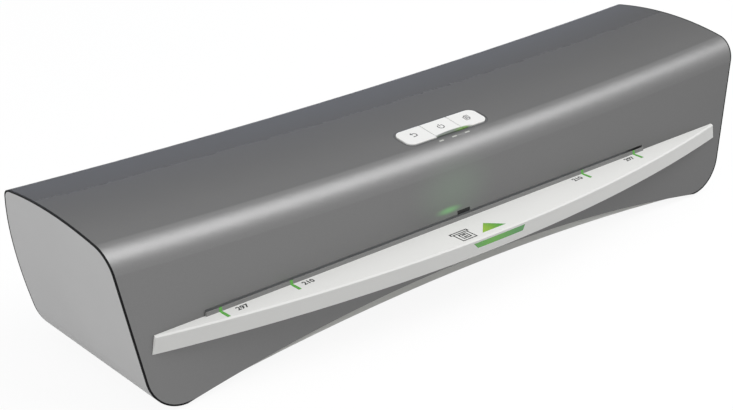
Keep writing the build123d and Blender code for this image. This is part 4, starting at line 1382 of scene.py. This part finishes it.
@dataclass
class Studio:
    """Floor, backdrop, lights and camera; lengths without a unit in the name are in metres."""

    lens_mm: float = 87.68
    sensor_mm: float = 36.0
    camera_place_mm: Triple = (-609.5, -659.4, 441.3)
    camera_azimuth: float = -41.02      # in degrees, as is the elevation
    camera_elevation: float = 24.35
    view_depth: Pair = (0.05, 50.0)     # nearest and furthest thing that the camera sees
    floor_size: float = 8.0
    shadow_share: float = 0.22      # how much of the floor's white is real light, with the shadow
    floor_colour: str = "#ACACAC"
    ambient: float = 0.4
    boxes: tuple[Softbox, ...] = (
        Softbox("top_box", (-0.1, 0.1, 1.8), (1.8, 1.4), 5.0),
        Softbox("front_box", (0.7, -0.66, 1.3), (1.3, 0.95), 17.0),
        Softbox("left_box", (-1.6, -0.3, 0.6), (1.0, 1.0), 10.0),
        Softbox("back_box", (1.1, 1.5, 0.3), (1.2, 0.5), 7.0, "#D4DFFF"),
        Softbox(
            "slot_box", (-0.0166, -0.0315, 0.045), (0.31, 0.004), 0.0018,
            aim=(-0.0166, -0.032, 0.04),
        ),
    )

    def build(self) -> None:
        """Builds floor, world, lights and camera."""
        self.floor()
        self.world()
        for box in self.boxes:
            self.light(box)
        self.camera()
        bpy.context.scene.view_settings.view_transform = "Standard"

    def seen_directly(self, tree: bpy.types.NodeTree) -> bpy.types.Node:
        """Tells rays that see a surface from rays that light things.

        Args:
            tree: tree that gets the nodes.

        Returns:
            1 for rays from the camera, a mirror or glass, and 0 for the others.
        """
        path = add_node(tree, "ShaderNodeLightPath").outputs
        rays = {0: path["Is Camera Ray"], 1: path["Is Glossy Ray"]}
        eye = add_node(tree, "ShaderNodeMath", rays, operation="MAXIMUM")
        rays = {0: eye, 1: path["Is Transmission Ray"]}
        return add_node(tree, "ShaderNodeMath", rays, operation="MAXIMUM")

    def floor(self) -> None:
        """Lays a pale floor that is seen white and keeps a part of the object's shadow."""
        half = self.floor_size / 2
        corners = [(-half, -half, 0), (half, -half, 0), (half, half, 0), (-half, half, 0)]
        mesh = bpy.data.meshes.new("floor")
        mesh.from_pydata(corners, [], [(0, 1, 2, 3)])
        floor = new_object("floor", mesh)
        material = bpy.data.materials.new("paper_backdrop_white")
        material.use_nodes = True
        tree = material.node_tree
        tree.nodes.clear()
        white_share = 1 - self.shadow_share
        white_left = (1 - self.shadow_share * linear(self.floor_colour)[0]) / white_share
        lit = add_node(tree, "ShaderNodeBsdfDiffuse", {"Color": self.floor_colour})
        white = add_node(tree, "ShaderNodeEmission", {"Color": WHITE, "Strength": white_left})
        seen = {0: self.seen_directly(tree), 1: white_share}
        share = add_node(tree, "ShaderNodeMath", seen, operation="MULTIPLY")
        mixed = add_node(tree, "ShaderNodeMixShader", {0: share, 1: lit, 2: white})
        add_node(tree, "ShaderNodeOutputMaterial", {"Surface": mixed})
        mesh.materials.append(material)

    def world(self) -> None:
        """Makes the background white to the eye and a soft grey light for the object."""
        world = bpy.data.worlds.new("studio")
        bpy.context.scene.world = world
        world.use_nodes = True
        tree = world.node_tree
        tree.nodes.clear()
        levels = {"Value": self.seen_directly(tree), "To Min": self.ambient, "To Max": 1.0}
        strength = add_node(tree, "ShaderNodeMapRange", levels)
        back = add_node(tree, "ShaderNodeBackground", {"Color": WHITE, "Strength": strength})
        add_node(tree, "ShaderNodeOutputWorld", {"Surface": back})

    def light(self, box: Softbox) -> None:
        """Hangs one softbox and aims it.

        Args:
            box: the softbox.
        """
        data = bpy.data.lights.new(box.name, "AREA")
        data.shape = "RECTANGLE"
        data.size, data.size_y = box.size
        data.energy = box.watts
        data.color = linear(box.colour)[:3]
        lamp = new_object(box.name, data)
        lamp.location = box.place
        aim = Vector(box.aim) - Vector(box.place)
        lamp.rotation_euler = aim.to_track_quat("-Z", "Y").to_euler()

    def camera(self) -> None:
        """Sets the camera where the object is seen from its front left, a little above."""
        data = bpy.data.cameras.new("camera")
        data.lens = self.lens_mm
        data.sensor_width = self.sensor_mm
        data.clip_start, data.clip_end = self.view_depth
        camera = new_object("camera", data)
        camera.location = Vector(self.camera_place_mm) * MM
        turn, rise = math.radians(self.camera_azimuth), math.radians(self.camera_elevation)
        flat = math.cos(rise)
        back = Vector((math.sin(turn) * flat, -math.cos(turn) * flat, math.sin(rise)))
        camera.rotation_euler = (-back).to_track_quat("-Z", "Y").to_euler()
        bpy.context.scene.camera = camera


def main() -> None:
    """Builds the machine's sub-assemblies in order, then the studio."""
    logging.basicConfig(level=logging.INFO, format="%(name)s: %(message)s")
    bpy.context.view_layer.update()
    ink = ScreenInk("screen_ink_black", "#141517", "#1E1F21").make()
    printer = SignPrinter(StrokeTree(ink), ink)
    for part in (Casing(), Tray(printer), Keys(printer), Drive(), Chassis(), Electronics()):
        part.build()
        LOG.info("%s is dressed", type(part).__name__)
    Studio().build()


if __name__ == "__main__":
    main()
